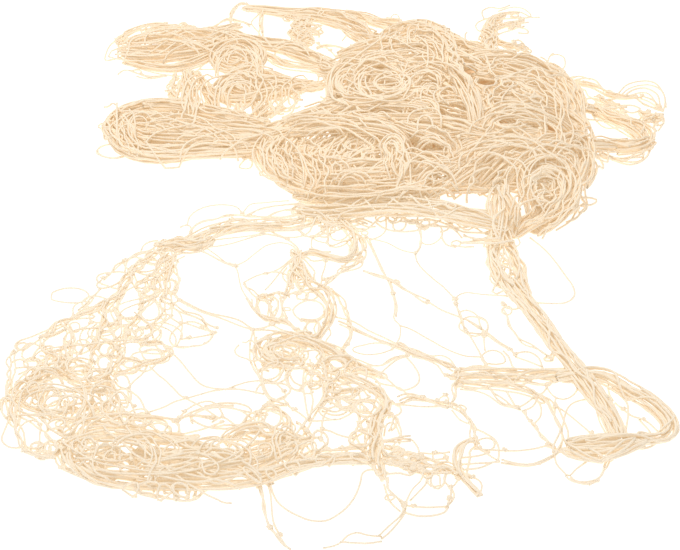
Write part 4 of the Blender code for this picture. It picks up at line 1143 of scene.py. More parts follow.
# lace at the front left; a run is how many twines go together, then x,y of each spot
frontLeft = {
    "thick": 0.88,
    "bandSeed": 640,
    "bands": {
        "knotLeft": dict(count=12, curls=1.2, rows=[(158,248,22,6), (180,245,34,8), (206,242,24,6)]),
        "laceSlant": dict(count=4, curls=0.2, span=0.09, small=0.004, large=0.008, rows=[(190,250,20,4),
            (170,272,34,5), (146,300,56,5), (112,334,84,5), (72,358,70,5), (40,376,36,4), (22,396,14,4)]),
        "shelfLeft": dict(count=9, curls=1.2, large=0.007, rows=[(66,420,20,4), (96,424,24,4),
            (124,424,24,4), (150,424,18,3)]),
        "bandLace": dict(count=8, curls=0.6, span=0.06, small=0.004, large=0.008, rows=[(66,458,28,5),
            (90,458,44,9), (120,460,46,9), (150,462,38,10)]),
        "bandOver": dict(count=8, curls=0.15, span=0.09, small=0.006, large=0.012, rows=[(120,456,40,12),
            (170,462,48,14), (225,464,50,14), (280,454,36,9)]),
    },
    "runSeed": 520,
    "runs": [
        (4, 172,254, 170,266, 166,278, 166,290, 162,300),
        (2, 166,238, 158,244, 150,250, 140,253, 132,258, 120,264, 112,270, 105,278, 100,281),
        (1, 141,252, 144,246, 150,242, 158,241), (4, 166,251, 155,253, 148,257, 140,263, 133,269, 129,276),
        (1, 125,273, 126,265, 130,260, 138,256, 148,253),
        (1, 101,281, 97,285, 98,289, 104,290, 112,287, 119,283, 125,277),
        (4, 134,268, 130,277, 125,285, 119,292, 112,300, 104,305, 96,310, 86,314, 76,317, 66,321, 57,327,
            49,333, 42,339),
        (2, 120,292, 108,300, 100,303, 92,310, 84,314, 77,317), (2, 100,288, 97,293, 90,300, 84,306, 78,313),
        (1, 90,303, 83,302, 76,305, 73,310, 74,318), (1, 84,315, 92,316, 95,319, 90,320, 80,320, 70,321),
        (1, 62,325, 45,331, 30,338, 20,342, 15,347, 18,352, 26,350, 33,345, 42,338),
        (2, 42,339, 42,346, 44,351, 50,354, 57,356), (1, 42,346, 36,352, 33,358, 31,361, 37,361, 42,365),
        (2, 43,339, 52,336, 60,333, 66,330, 69,335, 68,343, 66,348, 58,351, 50,354),
        (3, 64,322, 70,330, 72,340, 70,350, 71,358, 66,364), (1, 44,366, 50,358, 58,354, 68,356),
        (1, 36,372, 44,362, 54,358), (1, 48,368, 54,362, 62,359),
        (2, 30,384, 40,372, 50,364, 60,360, 70,358),
        (4, 103,304, 104,312, 103,320, 100,328, 97,338, 94,348, 92,358, 91,368),
        (1, 112,299, 107,306, 105,314), (1, 118,299, 112,307, 107,313, 104,322),
        (1, 125,289, 120,300, 117,308, 116,314, 119,320, 118,326), (1, 129,284, 124,295, 120,303, 116,311),
        (2, 176,252, 172,262, 176,273, 179,282, 175,290, 172,294),
        (3, 168,254, 160,263, 154,272, 146,279, 139,284), (3, 168,258, 165,268, 162,277, 154,283, 150,290),
        (3, 157,296, 148,304, 141,312, 136,319, 131,327, 127,335),
        (2, 160,299, 162,308, 163,315, 157,321, 148,325, 143,330), (1, 143,294, 142,303, 138,311),
        (1, 123,318, 128,320, 134,318, 141,311), (2, 101,328, 110,324, 118,325, 127,324, 136,322),
        (1, 120,318, 121,325, 117,330, 112,332, 103,333),
        (1, 146,327, 155,327, 163,329, 171,333, 176,339, 175,345, 170,349),
        (1, 171,317, 163,325, 158,330, 151,334, 144,338),
        (2, 160,300, 169,303, 176,309, 184,313, 194,317, 204,323, 212,330, 219,333),
        (1, 177,311, 182,319, 182,330, 180,340, 176,348), (1, 182,324, 195,327, 212,332),
        (1, 214,333, 208,336, 195,339, 180,341), (1, 214,334, 210,341, 203,346, 190,348, 176,347),
        (1, 172,303, 172,314, 170,318, 180,324),
        (1, 173,294, 180,302, 190,307, 205,314, 222,320, 240,327, 253,331),
        (1, 176,298, 190,306, 205,312, 222,317, 240,322, 254,330, 264,329, 272,325),
        (3, 142,344, 152,345, 160,344, 168,350, 172,356),
        (4, 171,354, 164,361, 155,364, 146,367, 136,370, 126,373, 114,374),
        (2, 116,349, 124,346, 134,344, 144,344, 150,338), (2, 113,343, 118,352, 120,358, 116,366),
        (2, 110,358, 120,358, 130,359, 140,363, 148,366),
        (3, 124,326, 124,334, 122,343, 122,352, 118,362, 112,370), (2, 132,330, 136,336, 143,341, 148,347),
        (1, 91,324, 84,330, 80,337, 82,345, 90,349), (2, 98,325, 92,332, 91,341, 96,347),
        (1, 70,363, 78,361, 86,364, 91,371), (1, 66,369, 80,368, 90,369, 104,371),
        (1, 64,372, 80,372, 94,373), (1, 85,373, 86,381), (2, 98,370, 104,378, 107,388, 104,396),
        (3, 112,368, 106,376, 108,386, 114,393),
        (1, 147,367, 142,375, 136,380, 131,385, 127,390, 119,388, 115,383, 108,380),
        (1, 150,368, 158,376, 165,381, 172,388, 180,396, 188,400, 197,405, 206,411, 220,420),
        (1, 150,413, 158,410, 165,407, 175,402, 188,399, 200,396, 215,392, 236,389),
        (1, 127,389, 134,394, 140,400, 144,408, 147,416), (1, 127,390, 130,400, 133,408, 135,415),
        (1, 112,402, 120,401, 128,402, 134,408), (1, 118,420, 123,416, 130,412, 138,410, 146,411, 150,416),
        (3, 19,349, 15,357, 11,366, 10,375, 12,383, 10,391, 12,399, 14,406, 14,414, 15,422, 18,430, 21,438,
            24,446, 28,453, 34,458, 42,459, 51,458, 60,457),
        (1, 12,364, 20,361, 28,365, 27,372, 21,377, 15,386),
        (1, 9,420, 6,427, 2,437, 3,444, 9,449, 18,449, 26,447),
        (2, 66,360, 58,368, 46,374, 34,384, 24,394, 16,404),
        (2, 22,396, 32,386, 44,381, 58,378, 72,382, 86,385), (3, 40,420, 47,427, 54,434, 60,439, 68,442),
        (1, 22,419, 30,423, 38,429, 45,433, 52,441), (1, 20,412, 28,418, 36,421, 40,426),
        (2, 70,438, 63,446, 61,456, 64,465, 71,471, 84,476), (2, 79,440, 72,448, 70,457, 73,466, 80,472),
        (2, 62,442, 57,450, 58,460, 63,469, 75,475, 90,479),
        (2, 84,428, 95,420, 105,416, 120,416, 135,418, 150,418, 165,420, 182,421),
        (3, 80,424, 95,423, 110,424, 125,426, 140,428), (1, 146,419, 160,418, 170,420, 178,424),
        (1, 140,428, 150,426, 160,425, 168,429, 174,437), (2, 174,422, 178,429, 177,437),
        (2, 178,424, 186,418, 200,417, 216,419), (1, 178,421, 187,411, 198,404, 210,402, 218,407, 223,416),
        (1, 184,418, 197,411, 212,408, 228,409, 241,412, 252,419), (1, 176,436, 190,433, 205,430, 222,423),
        (1, 212,424, 222,419, 232,424, 240,430), (3, 102,452, 103,463, 107,473, 114,481),
        (2, 92,448, 100,456, 110,458, 118,452), (2, 96,470, 106,466, 118,467, 130,468, 142,466),
        (2, 108,446, 112,455, 120,460, 130,458, 138,452), (2, 112,474, 124,472, 138,474, 150,470),
        (2, 126,485, 134,490, 145,494, 160,495, 170,499, 184,501, 196,497, 206,488),
        (3, 112,483, 130,487, 150,487, 172,487, 196,489), (1, 163,487, 165,495), (2, 174,486, 177,499),
        (1, 188,487, 187,499), (2, 197,486, 194,497),
        (4, 248,424, 253,417, 260,410, 270,407, 281,411, 286,419, 284,428),
        (3, 236,461, 250,450, 262,444, 275,441, 290,441), (2, 262,458, 268,449, 277,441),
        (3, 284,458, 281,449, 277,441), (3, 285,444, 291,434, 288,422), (2, 274,443, 272,452, 278,460),
        (4, 262,479, 275,471, 289,465, 300,460), (3, 294,424, 303,430, 311,437, 320,440),
        (2, 288,442, 302,442, 312,440), (1, 303,442, 308,449, 313,456), (1, 302,442, 302,456),
        (2, 299,442, 295,452, 291,462), (1, 318,439, 325,444, 329,451),
        (3, 290,464, 305,457, 320,452, 335,452, 350,450, 370,448), (2, 342,452, 351,447, 362,446, 372,447),
    ],
    "knots": dict(count=60, seed=660, ends=0.2),
    "ringSeed": 670,
    "rings": [
        (114,152,19,7), (114,152,17,6), (395,19,4,4), (545,202,10,7), (69,297,20,7), (112,318,7,6),
        (108,337,7,5), (75,328,5,5), (79,349,4,5), (23,347,6,4), (9,388,3,8), (7,410,5,9), (51,399,9,8),
        (51,399,11,9), (36,401,4,4), (150,292,5,5), (141,285,5,4), (170,299,9,5), (150,312,10,10),
        (152,356,10,6), (106,350,7,6), (113,354,5,6), (124,397,7,7), (109,408,6,6), (139,422,6,6),
        (124,421,5,4), (62,425,7,4), (66,431,6,4), (37,447,6,4), (46,449,5,5), (41,455,8,4), (54,449,5,4),
        (210,471,8,4), (170,491,7,4), (183,493,6,6), (134,488,5,3), (270,418,12,11), (310,312,16,11),
        (302,297,6,4), (311,297,6,4), (339,234,8,7), (373,350,20,6), (316,376,5,6), (314,386,6,5),
        (343,390,8,5), (367,407,7,6), (381,219,6,4), (392,218,5,4), (474,327,15,9), (494,359,12,7),
        (507,312,5,5), (456,244,5,3), (486,446,9,6), (600,452,20,8), (303,356,5,6), (78,447,4,6),
        (70,465,6,9), (92,343,5,6), (131,365,8,4), (93,376,8,4), (434,482,7,6), (447,472,5,4),
    ],
}
loose = bandsOf(frontLeft["bands"], frontLeft["bandSeed"])
loose += runsOf(paired(frontLeft["runs"]), frontLeft["runSeed"])
small = knotsOn(loose, **frontLeft["knots"]) + ringsAt(frontLeft["rings"], frontLeft["ringSeed"])
twineMesh("frontLeft", loose, small, frontLook, frontLeft["thick"])

# ropes, twists and columns in front of the heap
frontRopes = {
    "seed": 740,
    "hanks": {
        "tieRight": dict(stray=0.08, rows=[(300,210,20,8), (325,212,26,10), (350,210,30,12),
            (378,208,32,13), (410,208,32,13), (440,213,28,13), (466,219,24,12), (500,226,20,10)]),
        "tieTop": dict(stray=0.1, rows=[(304,202,8,5), (340,201,10,6), (380,200,14,8), (420,202,14,8),
            (450,207,12,7), (488,214,12,7)]),
        "tieLeft": dict(gap=4.6, stray=0.35, loose=1.8, rows=[(176,245,14,5), (195,238,20,6),
            (215,230,24,6), (240,226,24,6), (265,225,26,6), (290,226,28,6), (312,220,24,6)]),
        "columnRight": dict(gap=3.1, stray=0.05, rows=[(507,279,16,9), (514,288,20,11), (524,301,20,12),
            (540,322,18,12), (557,346,18,12), (574,367,18,12), (590,389,20,11), (604,407,19,11),
            (614,424,17,10), (620,440,14,8)]),
        "columnWrap": [(456,243,6,4,2), (480,242,9,4,8), (498,242,10,5,13), (512,241,6,4,6)],
        "ropeCorner": dict(gap=3.1, stray=0.08, rows=[(560,378,12,8), (585,375,18,11), (605,377,20,11),
            (627,389,19,11), (646,400,18,11), (661,412,17,10), (670,425,17,10), (665,436,15,9),
            (645,439,16,9), (620,440,17,9,6), (596,440,16,9), (570,443,13,8)]),
        "fanCorner": dict(gap=3.1, stray=0.1, rows=[(642,441,8,6,4), (622,448,22,9,6), (602,453,32,9),
            (582,453,28,8), (567,449,18,6)]),
        "twistTop": dict(stray=0.3, rows=[(334,214,16,8), (347,226,15,8), (356,240,14,8), (356,253,13,8),
            (344,261,12,7), (326,257,10,6), (308,253,9,6), (294,260,8,4)]),
        "twistBranch": dict(gap=3.6, stray=0.3, rows=[(302,252,7,4), (296,263,9,5), (292,276,8,4),
            (289,290,7,4), (284,301,5,3)]),
        "twistLow": dict(stray=0.3, rows=[(292,252,8,4), (298,261,10,6), (304,272,14,7), (312,284,15,7),
            (324,294,15,8), (331,307,13,8), (329,320,12,7), (321,334,10,6), (312,344,8,4)]),
        "coilMid": dict(gap=4.0, stray=0.3, loose=2.2, rows=[(350,358,6,4), (330,347,10,6), (310,338,12,8),
            (290,335,13,8), (270,337,13,8), (261,346,13,8), (263,357,13,8), (280,364,12,7), (302,362,10,6)]),
        "coilHeart": dict(gap=4.0, stray=0.3, rows=[(304,347,7,5), (284,344,7,5), (269,350,7,5),
            (280,357,8,5), (302,353,7,5)]),
        "ropeMid": dict(gap=3.0, stray=0.15, rows=[(284,334,10,6), (304,341,11,7), (328,352,12,7),
            (352,363,10,6), (382,376,6,4)]),
        "dropMid": dict(gap=4.0, stray=0.3, rows=[(320,352,9,5), (323,368,10,5), (325,386,8,5),
            (320,403,7,4), (308,422,8,4), (296,438,14,4)]),
        "ropeFront": dict(stray=0.25, rows=[(338,374,8,5), (354,380,14,8), (372,389,14,8), (386,401,12,7),
            (385,412,10,6), (378,419,13,7), (375,434,15,8), (375,450,15,8), (379,464,12,6), (382,482,6,4)]),
        "rightUpper": dict(gap=4.2, stray=0.25, loose=1.6, rows=[(453,376,10,4), (470,374,15,5),
            (500,374,17,6), (535,375,15,6), (562,374,13,6), (588,375,8,4)]),
        "rightLower": dict(gap=4.2, stray=0.25, loose=1.6, rows=[(456,384,8,3), (480,386,9,4),
            (505,388,9,4), (528,394,7,3), (542,402,4,3)]),
        "ropeSide": dict(gap=3.6, stray=0.3, rows=[(384,404,6,4), (373,420,8,5), (368,436,9,5),
            (370,454,8,5), (377,470,5,4)]),
        "hankFront": dict(gap=3.0, rows=[(476,440,6,4), (465,444,10,5), (457,451,12,6), (457,466,11,6),
            (464,479,11,6), (478,494,8,4)]),
        "columnTop": dict(gap=3.0, stray=0.1, rows=[(500,188,20,12,4), (497,204,24,15), (498,220,20,14),
            (495,236,17,12), (493,250,13,10), (494,263,12,9), (500,275,13,9), (508,286,14,10),
            (517,299,12,8)]),
        "columnBranch": dict(gap=3.0, stray=0.2, rows=[(501,214,9,7), (505,231,10,8), (509,246,10,8),
            (514,259,10,8), (519,272,11,8), (523,285,12,9), (530,301,10,8)]),
    },
}
lines, rings = hanksOf(frontRopes["hanks"], frontRopes["seed"])
floorTop += lines + rings
twineMesh("frontRopes", lines, rings, frontLook)

# lace in the middle and on the right, written like that on the left
frontMiddle = {
    "thick": 0.88,
    "bandSeed": 980,
    "bandCommon": dict(span=0.05, small=0.004, large=0.007),
    "bands": {
        "tieUnder": dict(count=9, curls=1.2, large=0.008, rows=[(314,223,26,4), (345,226,26,4),
            (372,224,28,4), (398,221,16,3)]),
        "meshTop": dict(count=9, curls=1.0, rows=[(296,214,24,5), (320,218,28,5), (345,222,22,5)]),
        "twistRight": dict(count=6, curls=0.9, rows=[(346,226,18,6), (356,244,20,7), (348,260,20,6),
            (320,258,16,5)]),
        "twistLeft": dict(count=8, curls=1.0, large=0.008, rows=[(298,258,20,5), (292,276,22,5),
            (296,294,30,5)]),
        "coilLace": dict(count=4, span=0.06, rows=[(322,336,16,6), (292,338,20,8), (266,348,20,8),
            (284,362,20,6), (306,358,14,4)]),
        "ropeFront": dict(count=5, curls=0.6, rows=[(368,414,18,6), (374,436,18,7), (376,462,18,6)]),
        "bandEnd": dict(count=11, curls=0.7, rows=[(378,462,20,4), (400,462,26,4), (430,468,16,4),
            (458,470,14,4)]),
        "columnEdge": dict(count=6, curls=0.8, small=0.003, large=0.006, rows=[(502,236,20,8),
            (506,262,22,8), (514,288,22,8)]),
        "tieEdge": dict(count=3, curls=1.0, rows=[(376,218,8,3), (404,220,12,3), (436,226,14,3),
            (472,234,12,3)]),
    },
    "runSeed": 780,
    "runs": [
        (3, 362,257, 350,265, 338,272, 326,282), (3, 396,345, 408,351, 418,355, 430,359, 442,365, 456,371),
        (3, 398,402, 410,398, 424,401, 438,406, 452,408),
        (2, 331,290, 340,300, 347,314, 350,330, 348,345, 341,355),
        (5, 304,222, 285,224, 270,226, 258,227, 245,223, 234,223, 224,226, 214,231, 204,237, 190,245),
        (3, 304,229, 285,231, 265,232, 252,230, 240,231, 226,234, 212,239, 194,246),
        (2, 306,214, 288,217, 270,220, 255,218, 240,216, 226,217, 214,221, 204,223, 195,228, 186,236),
        (2, 304,210, 288,211, 275,214, 262,219), (2, 300,206, 285,206, 270,208, 256,212, 246,217),
        (1, 242,214, 250,206, 262,204, 275,202, 289,202),
        (1, 187,227, 190,217, 200,210, 215,206, 230,206, 238,209, 242,215),
        (1, 180,229, 188,226, 192,232, 186,240), (1, 262,234, 240,238, 225,240, 210,242),
        (1, 264,236, 245,241, 225,245, 207,248), (1, 262,235, 280,238, 290,242, 298,249, 300,257),
        (1, 206,249, 218,257, 226,263, 234,266, 238,274, 240,284, 244,294, 250,303, 255,311),
        (1, 200,252, 214,258, 226,264, 236,268),
        (1, 234,266, 245,262, 255,255, 265,247, 277,244, 290,246, 299,253),
        (2, 245,283, 246,289, 255,297, 263,298, 271,295, 280,294, 287,297),
        (1, 245,283, 255,277, 268,274, 280,274, 290,277), (1, 265,291, 274,281, 283,270, 292,262, 301,257),
        (1, 266,275, 278,270, 288,263, 296,256), (3, 297,258, 293,268, 291,280, 287,291, 284,298),
        (2, 284,297, 281,305, 283,313, 288,320), (2, 268,297, 270,308, 275,316, 280,322),
        (1, 258,300, 256,308, 260,315, 267,321, 273,326),
        (3, 248,300, 253,309, 261,316, 272,320, 282,322, 290,326, 297,332), (1, 270,324, 280,330, 292,334),
        (2, 276,320, 288,326, 302,334), (1, 272,326, 262,329, 254,331, 255,340, 253,352),
        (2, 286,295, 296,293, 305,291, 315,290), (1, 308,322, 306,330, 312,336),
        (1, 318,321, 314,330, 318,338), (2, 300,322, 312,323, 322,320, 328,314),
        (1, 326,290, 335,295, 341,304, 345,315, 350,323, 351,333, 346,343, 339,353),
        (1, 328,328, 331,334, 326,342, 330,350, 336,356),
        (1, 363,258, 362,266, 355,270, 345,272, 335,276, 327,283, 320,290),
        (1, 360,262, 352,268, 340,274, 328,284, 318,291), (1, 326,258, 325,267, 322,277, 321,288),
        (2, 358,236, 363,246, 364,256, 358,264), (2, 300,228, 306,236, 315,236, 322,232, 328,226),
        (2, 326,224, 329,236, 328,245, 335,247, 343,244, 351,238), (1, 311,237, 318,242, 329,245),
        (1, 312,238, 312,249, 320,252, 331,253), (2, 302,206, 303,216, 302,228),
        (1, 312,208, 313,218, 310,228), (2, 322,208, 324,218, 322,230),
        (2, 302,220, 316,220, 332,220, 346,224),
        (2, 296,330, 312,337, 328,345, 340,354, 354,361, 366,365, 380,366, 388,362, 396,358, 407,357),
        (1, 305,358, 304,372, 303,385, 305,400, 307,412, 310,421),
        (1, 310,360, 312,375, 311,390, 313,402, 310,418), (1, 293,364, 290,374, 294,383, 303,387),
        (1, 264,363, 262,375, 264,387, 271,398, 282,400, 286,396, 280,388, 270,382, 261,381),
        (1, 280,364, 280,373, 274,379, 264,381),
        (1, 253,333, 250,345, 250,360, 254,370, 260,380, 264,392, 270,402, 274,409),
        (1, 257,338, 254,350, 254,362, 259,374),
        (1, 175,357, 182,364, 190,374, 200,384, 212,389, 225,391, 243,391, 264,395),
        (1, 225,391, 240,386, 250,383, 263,381), (1, 285,402, 290,408, 300,414, 308,421),
        (2, 270,402, 280,405, 288,406),
        (1, 322,412, 333,416, 343,415, 347,411, 342,408, 334,408, 327,412, 323,420, 322,430, 321,441),
        (2, 320,410, 326,402, 336,406, 342,409, 350,410, 358,415, 360,425, 364,434),
        (1, 322,430, 330,432, 340,437, 352,440), (1, 308,422, 320,422, 336,421),
        (1, 366,432, 358,436, 353,442, 356,448), (2, 330,378, 340,381, 350,384),
        (2, 338,357, 342,363, 350,371, 357,377), (1, 350,362, 356,367, 356,373, 350,372, 347,366),
        (2, 328,386, 336,394, 338,404, 340,410), (2, 340,398, 350,403, 360,405, 366,412),
        (1, 358,392, 360,400, 356,408, 362,414, 372,414), (1, 360,404, 370,402, 375,407, 370,413),
        (2, 326,372, 334,376, 344,377), (2, 326,366, 334,360, 342,362), (2, 306,364, 314,367, 322,364),
        (2, 308,388, 316,384, 324,388, 330,394),
        (2, 386,400, 393,403, 402,402, 411,398, 425,399, 440,403, 454,405),
        (1, 388,404, 405,406, 425,408, 446,407),
        (1, 378,375, 388,381, 395,387, 401,391, 411,389, 418,384, 419,376, 414,367, 408,360, 404,357),
        (1, 375,382, 388,386, 400,390, 407,396, 414,400), (1, 379,377, 387,369, 396,361, 407,357),
        (1, 335,317, 352,323, 370,332, 390,341, 410,350, 420,354, 432,357, 440,356, 448,359, 453,364,
            457,371),
        (2, 336,322, 352,330, 372,338, 394,347, 412,355, 426,359, 440,364, 456,372),
        (1, 412,357, 426,361, 438,367, 443,374, 450,379, 458,380),
        (1, 370,242, 375,253, 379,263, 384,273, 389,284, 393,296, 395,308, 394,320, 400,327, 400,337,
            396,345, 392,351),
        (1, 391,283, 394,295, 397,308, 396,318), (1, 366,240, 372,250, 380,268, 386,277),
        (2, 362,271, 372,274, 384,279, 394,284, 406,291, 418,298, 430,304),
        (1, 428,303, 440,310, 450,314, 461,318),
        (1, 400,327, 415,333, 430,340, 442,348, 455,354, 468,358, 482,358),
        (1, 366,239, 385,243, 400,250, 415,254), (1, 386,220, 386,231, 380,237, 369,241),
        (1, 375,222, 382,228, 392,232, 405,233, 418,231, 430,226, 441,221),
        (1, 388,216, 390,224, 400,222, 404,216), (1, 404,216, 408,224, 416,224, 418,216),
        (2, 418,222, 418,231, 421,240, 419,249, 415,257),
        (1, 420,243, 428,246, 437,242, 442,236, 441,228, 433,225, 422,228), (1, 441,238, 446,246, 456,248),
        (1, 453,223, 447,231, 440,233), (1, 446,224, 456,232, 462,240),
        (1, 415,253, 417,262, 424,271, 433,280, 442,287, 449,294, 455,300),
        (2, 455,299, 457,307, 460,314, 461,323, 465,330),
        (1, 465,330, 471,338, 476,347, 480,355, 483,362, 488,369),
        (1, 454,301, 460,296, 468,294, 482,295, 508,297),
        (1, 459,313, 466,311, 473,314, 478,319, 480,326, 484,334), (2, 462,320, 472,326, 482,331),
        (1, 477,318, 484,320, 488,326, 486,333, 478,335, 466,334),
        (1, 483,331, 492,337, 500,343, 508,348, 515,356), (1, 484,334, 494,341, 503,347, 510,351),
        (1, 484,333, 484,342, 485,352), (2, 482,358, 486,367, 491,374),
        (1, 503,352, 509,358, 512,366, 516,371), (1, 514,355, 527,353, 537,357, 541,363, 543,371),
        (1, 515,357, 528,362, 543,369), (1, 412,441, 416,446, 419,453, 416,461, 412,466),
        (3, 384,443, 398,441, 412,441), (2, 384,449, 400,450, 414,456), (4, 384,463, 400,466, 414,469),
        (1, 386,474, 400,474, 410,477, 419,471), (1, 418,454, 435,455, 450,453),
        (1, 417,459, 430,461, 446,459), (3, 412,466, 430,467, 445,466, 458,469),
        (3, 412,470, 430,473, 445,471, 460,476), (1, 424,473, 420,482, 413,490, 407,500, 404,507),
        (1, 427,474, 426,484, 418,493, 410,502), (1, 432,475, 431,484, 436,490, 443,486, 446,474),
        (1, 446,474, 444,482, 452,488, 458,480), (2, 452,487, 452,496, 449,504, 446,509),
        (1, 404,506, 420,508, 435,508, 448,507), (1, 404,513, 418,517, 432,517, 444,514, 448,508),
        (2, 384,478, 388,491, 394,499, 404,507), (1, 384,486, 390,502, 400,513),
        (2, 404,506, 402,515, 399,522, 392,530, 384,537, 378,541),
        (1, 382,538, 368,537, 357,534, 347,537, 341,543, 333,547, 323,549),
        (1, 382,543, 370,544, 355,543, 340,543),
        (2, 262,484, 263,500, 266,512, 270,524, 276,535, 285,545, 294,549),
        (1, 268,484, 271,498, 272,512, 274,524, 280,536),
        (1, 270,486, 276,500, 286,510, 297,517, 310,522, 325,522, 337,516, 347,508, 355,497, 360,485,
            362,476, 368,471, 380,470),
        (1, 502,302, 505,308, 514,311, 522,308),
        (2, 502,310, 507,318, 510,328, 516,337, 522,343, 532,348, 542,354, 552,359),
        (1, 528,301, 540,304, 555,305, 566,304, 574,297, 573,287, 566,277, 556,264, 545,250, 530,239),
        (1, 487,243, 488,255, 486,265, 491,272), (1, 514,242, 516,252, 519,265, 525,273, 527,283, 524,291),
        (2, 492,268, 491,276, 496,283, 504,288), (2, 516,258, 524,266, 525,278, 522,290),
        (2, 462,234, 470,236, 480,238, 492,236), (1, 453,246, 462,248, 474,248),
        (1, 508,236, 516,238, 520,244, 514,248),
        (2, 456,370, 475,371, 490,370, 505,370, 520,371, 540,372, 560,371, 578,372),
        (4, 453,378, 480,376, 500,377, 520,378, 540,379, 560,377, 580,374),
        (3, 455,384, 480,384, 500,384, 520,387, 532,393, 545,402, 553,411, 558,422, 559,434, 558,446,
            555,456),
        (2, 460,382, 490,381, 520,382, 542,384, 556,380), (3, 459,372, 457,382, 456,391, 454,400, 451,406),
        (1, 460,388, 472,390, 482,388, 492,387), (1, 460,390, 476,392, 488,397, 500,405, 512,408, 521,411),
        (1, 565,443, 562,432, 564,420, 567,411, 573,404, 583,400, 594,400),
        (1, 567,446, 568,434, 564,422, 560,412, 556,404),
        (1, 546,386, 550,393, 556,399, 565,401, 573,397, 577,390, 575,384),
        (1, 556,399, 555,406, 562,411, 570,417, 580,425, 591,434), (1, 608,386, 609,394, 613,402),
        (1, 612,389, 620,396, 627,405, 628,416, 626,430),
        (1, 615,403, 625,412, 632,418, 639,420, 648,424, 659,433), (1, 639,420, 646,428, 651,436),
        (1, 594,402, 597,413, 600,424, 606,436), (2, 486,387, 492,395, 500,402, 510,407, 521,411),
        (2, 521,411, 527,418, 532,425, 538,435, 546,443, 556,450),
        (1, 506,393, 512,402, 517,408, 526,404, 533,399), (1, 522,412, 532,408, 537,400),
        (1, 535,398, 541,408, 540,418, 533,426), (1, 548,386, 543,393, 537,395, 530,390),
        (1, 628,445, 640,449, 652,447, 660,441), (1, 555,454, 556,465, 563,473, 569,477, 576,470, 586,463),
        (2, 567,475, 572,481, 583,484, 595,481, 601,476, 605,467, 612,459),
        (2, 500,462, 515,464, 530,465, 545,461, 557,455), (1, 474,450, 495,452, 515,452, 535,449, 547,446),
        (1, 545,447, 556,450, 568,452), (3, 450,405, 458,411, 466,418, 472,426, 474,436, 475,446),
        (1, 452,412, 460,421, 472,425), (1, 474,429, 485,434, 495,441, 499,450, 498,463),
        (1, 476,447, 486,454, 498,461), (1, 460,465, 480,465, 500,462), (1, 460,471, 478,470, 492,463),
        (1, 460,459, 478,457, 490,453), (1, 468,477, 478,481, 482,488, 479,496),
        (2, 568,452, 580,458, 596,462, 612,459, 622,450), (5, 446,224, 460,229, 474,231, 489,232),
        (3, 404,452, 418,457, 432,461, 446,467, 456,471), (2, 394,461, 410,467, 428,472, 440,470),
    ],
    "knots": dict(count=90, seed=990, ends=0.2),
}
loose = bandsOf(frontMiddle["bands"], frontMiddle["bandSeed"], **frontMiddle["bandCommon"])
loose += runsOf(paired(frontMiddle["runs"]), frontMiddle["runSeed"])
twineMesh("frontMiddle", loose, knotsOn(loose, **frontMiddle["knots"]), frontLook, frontMiddle["thick"])

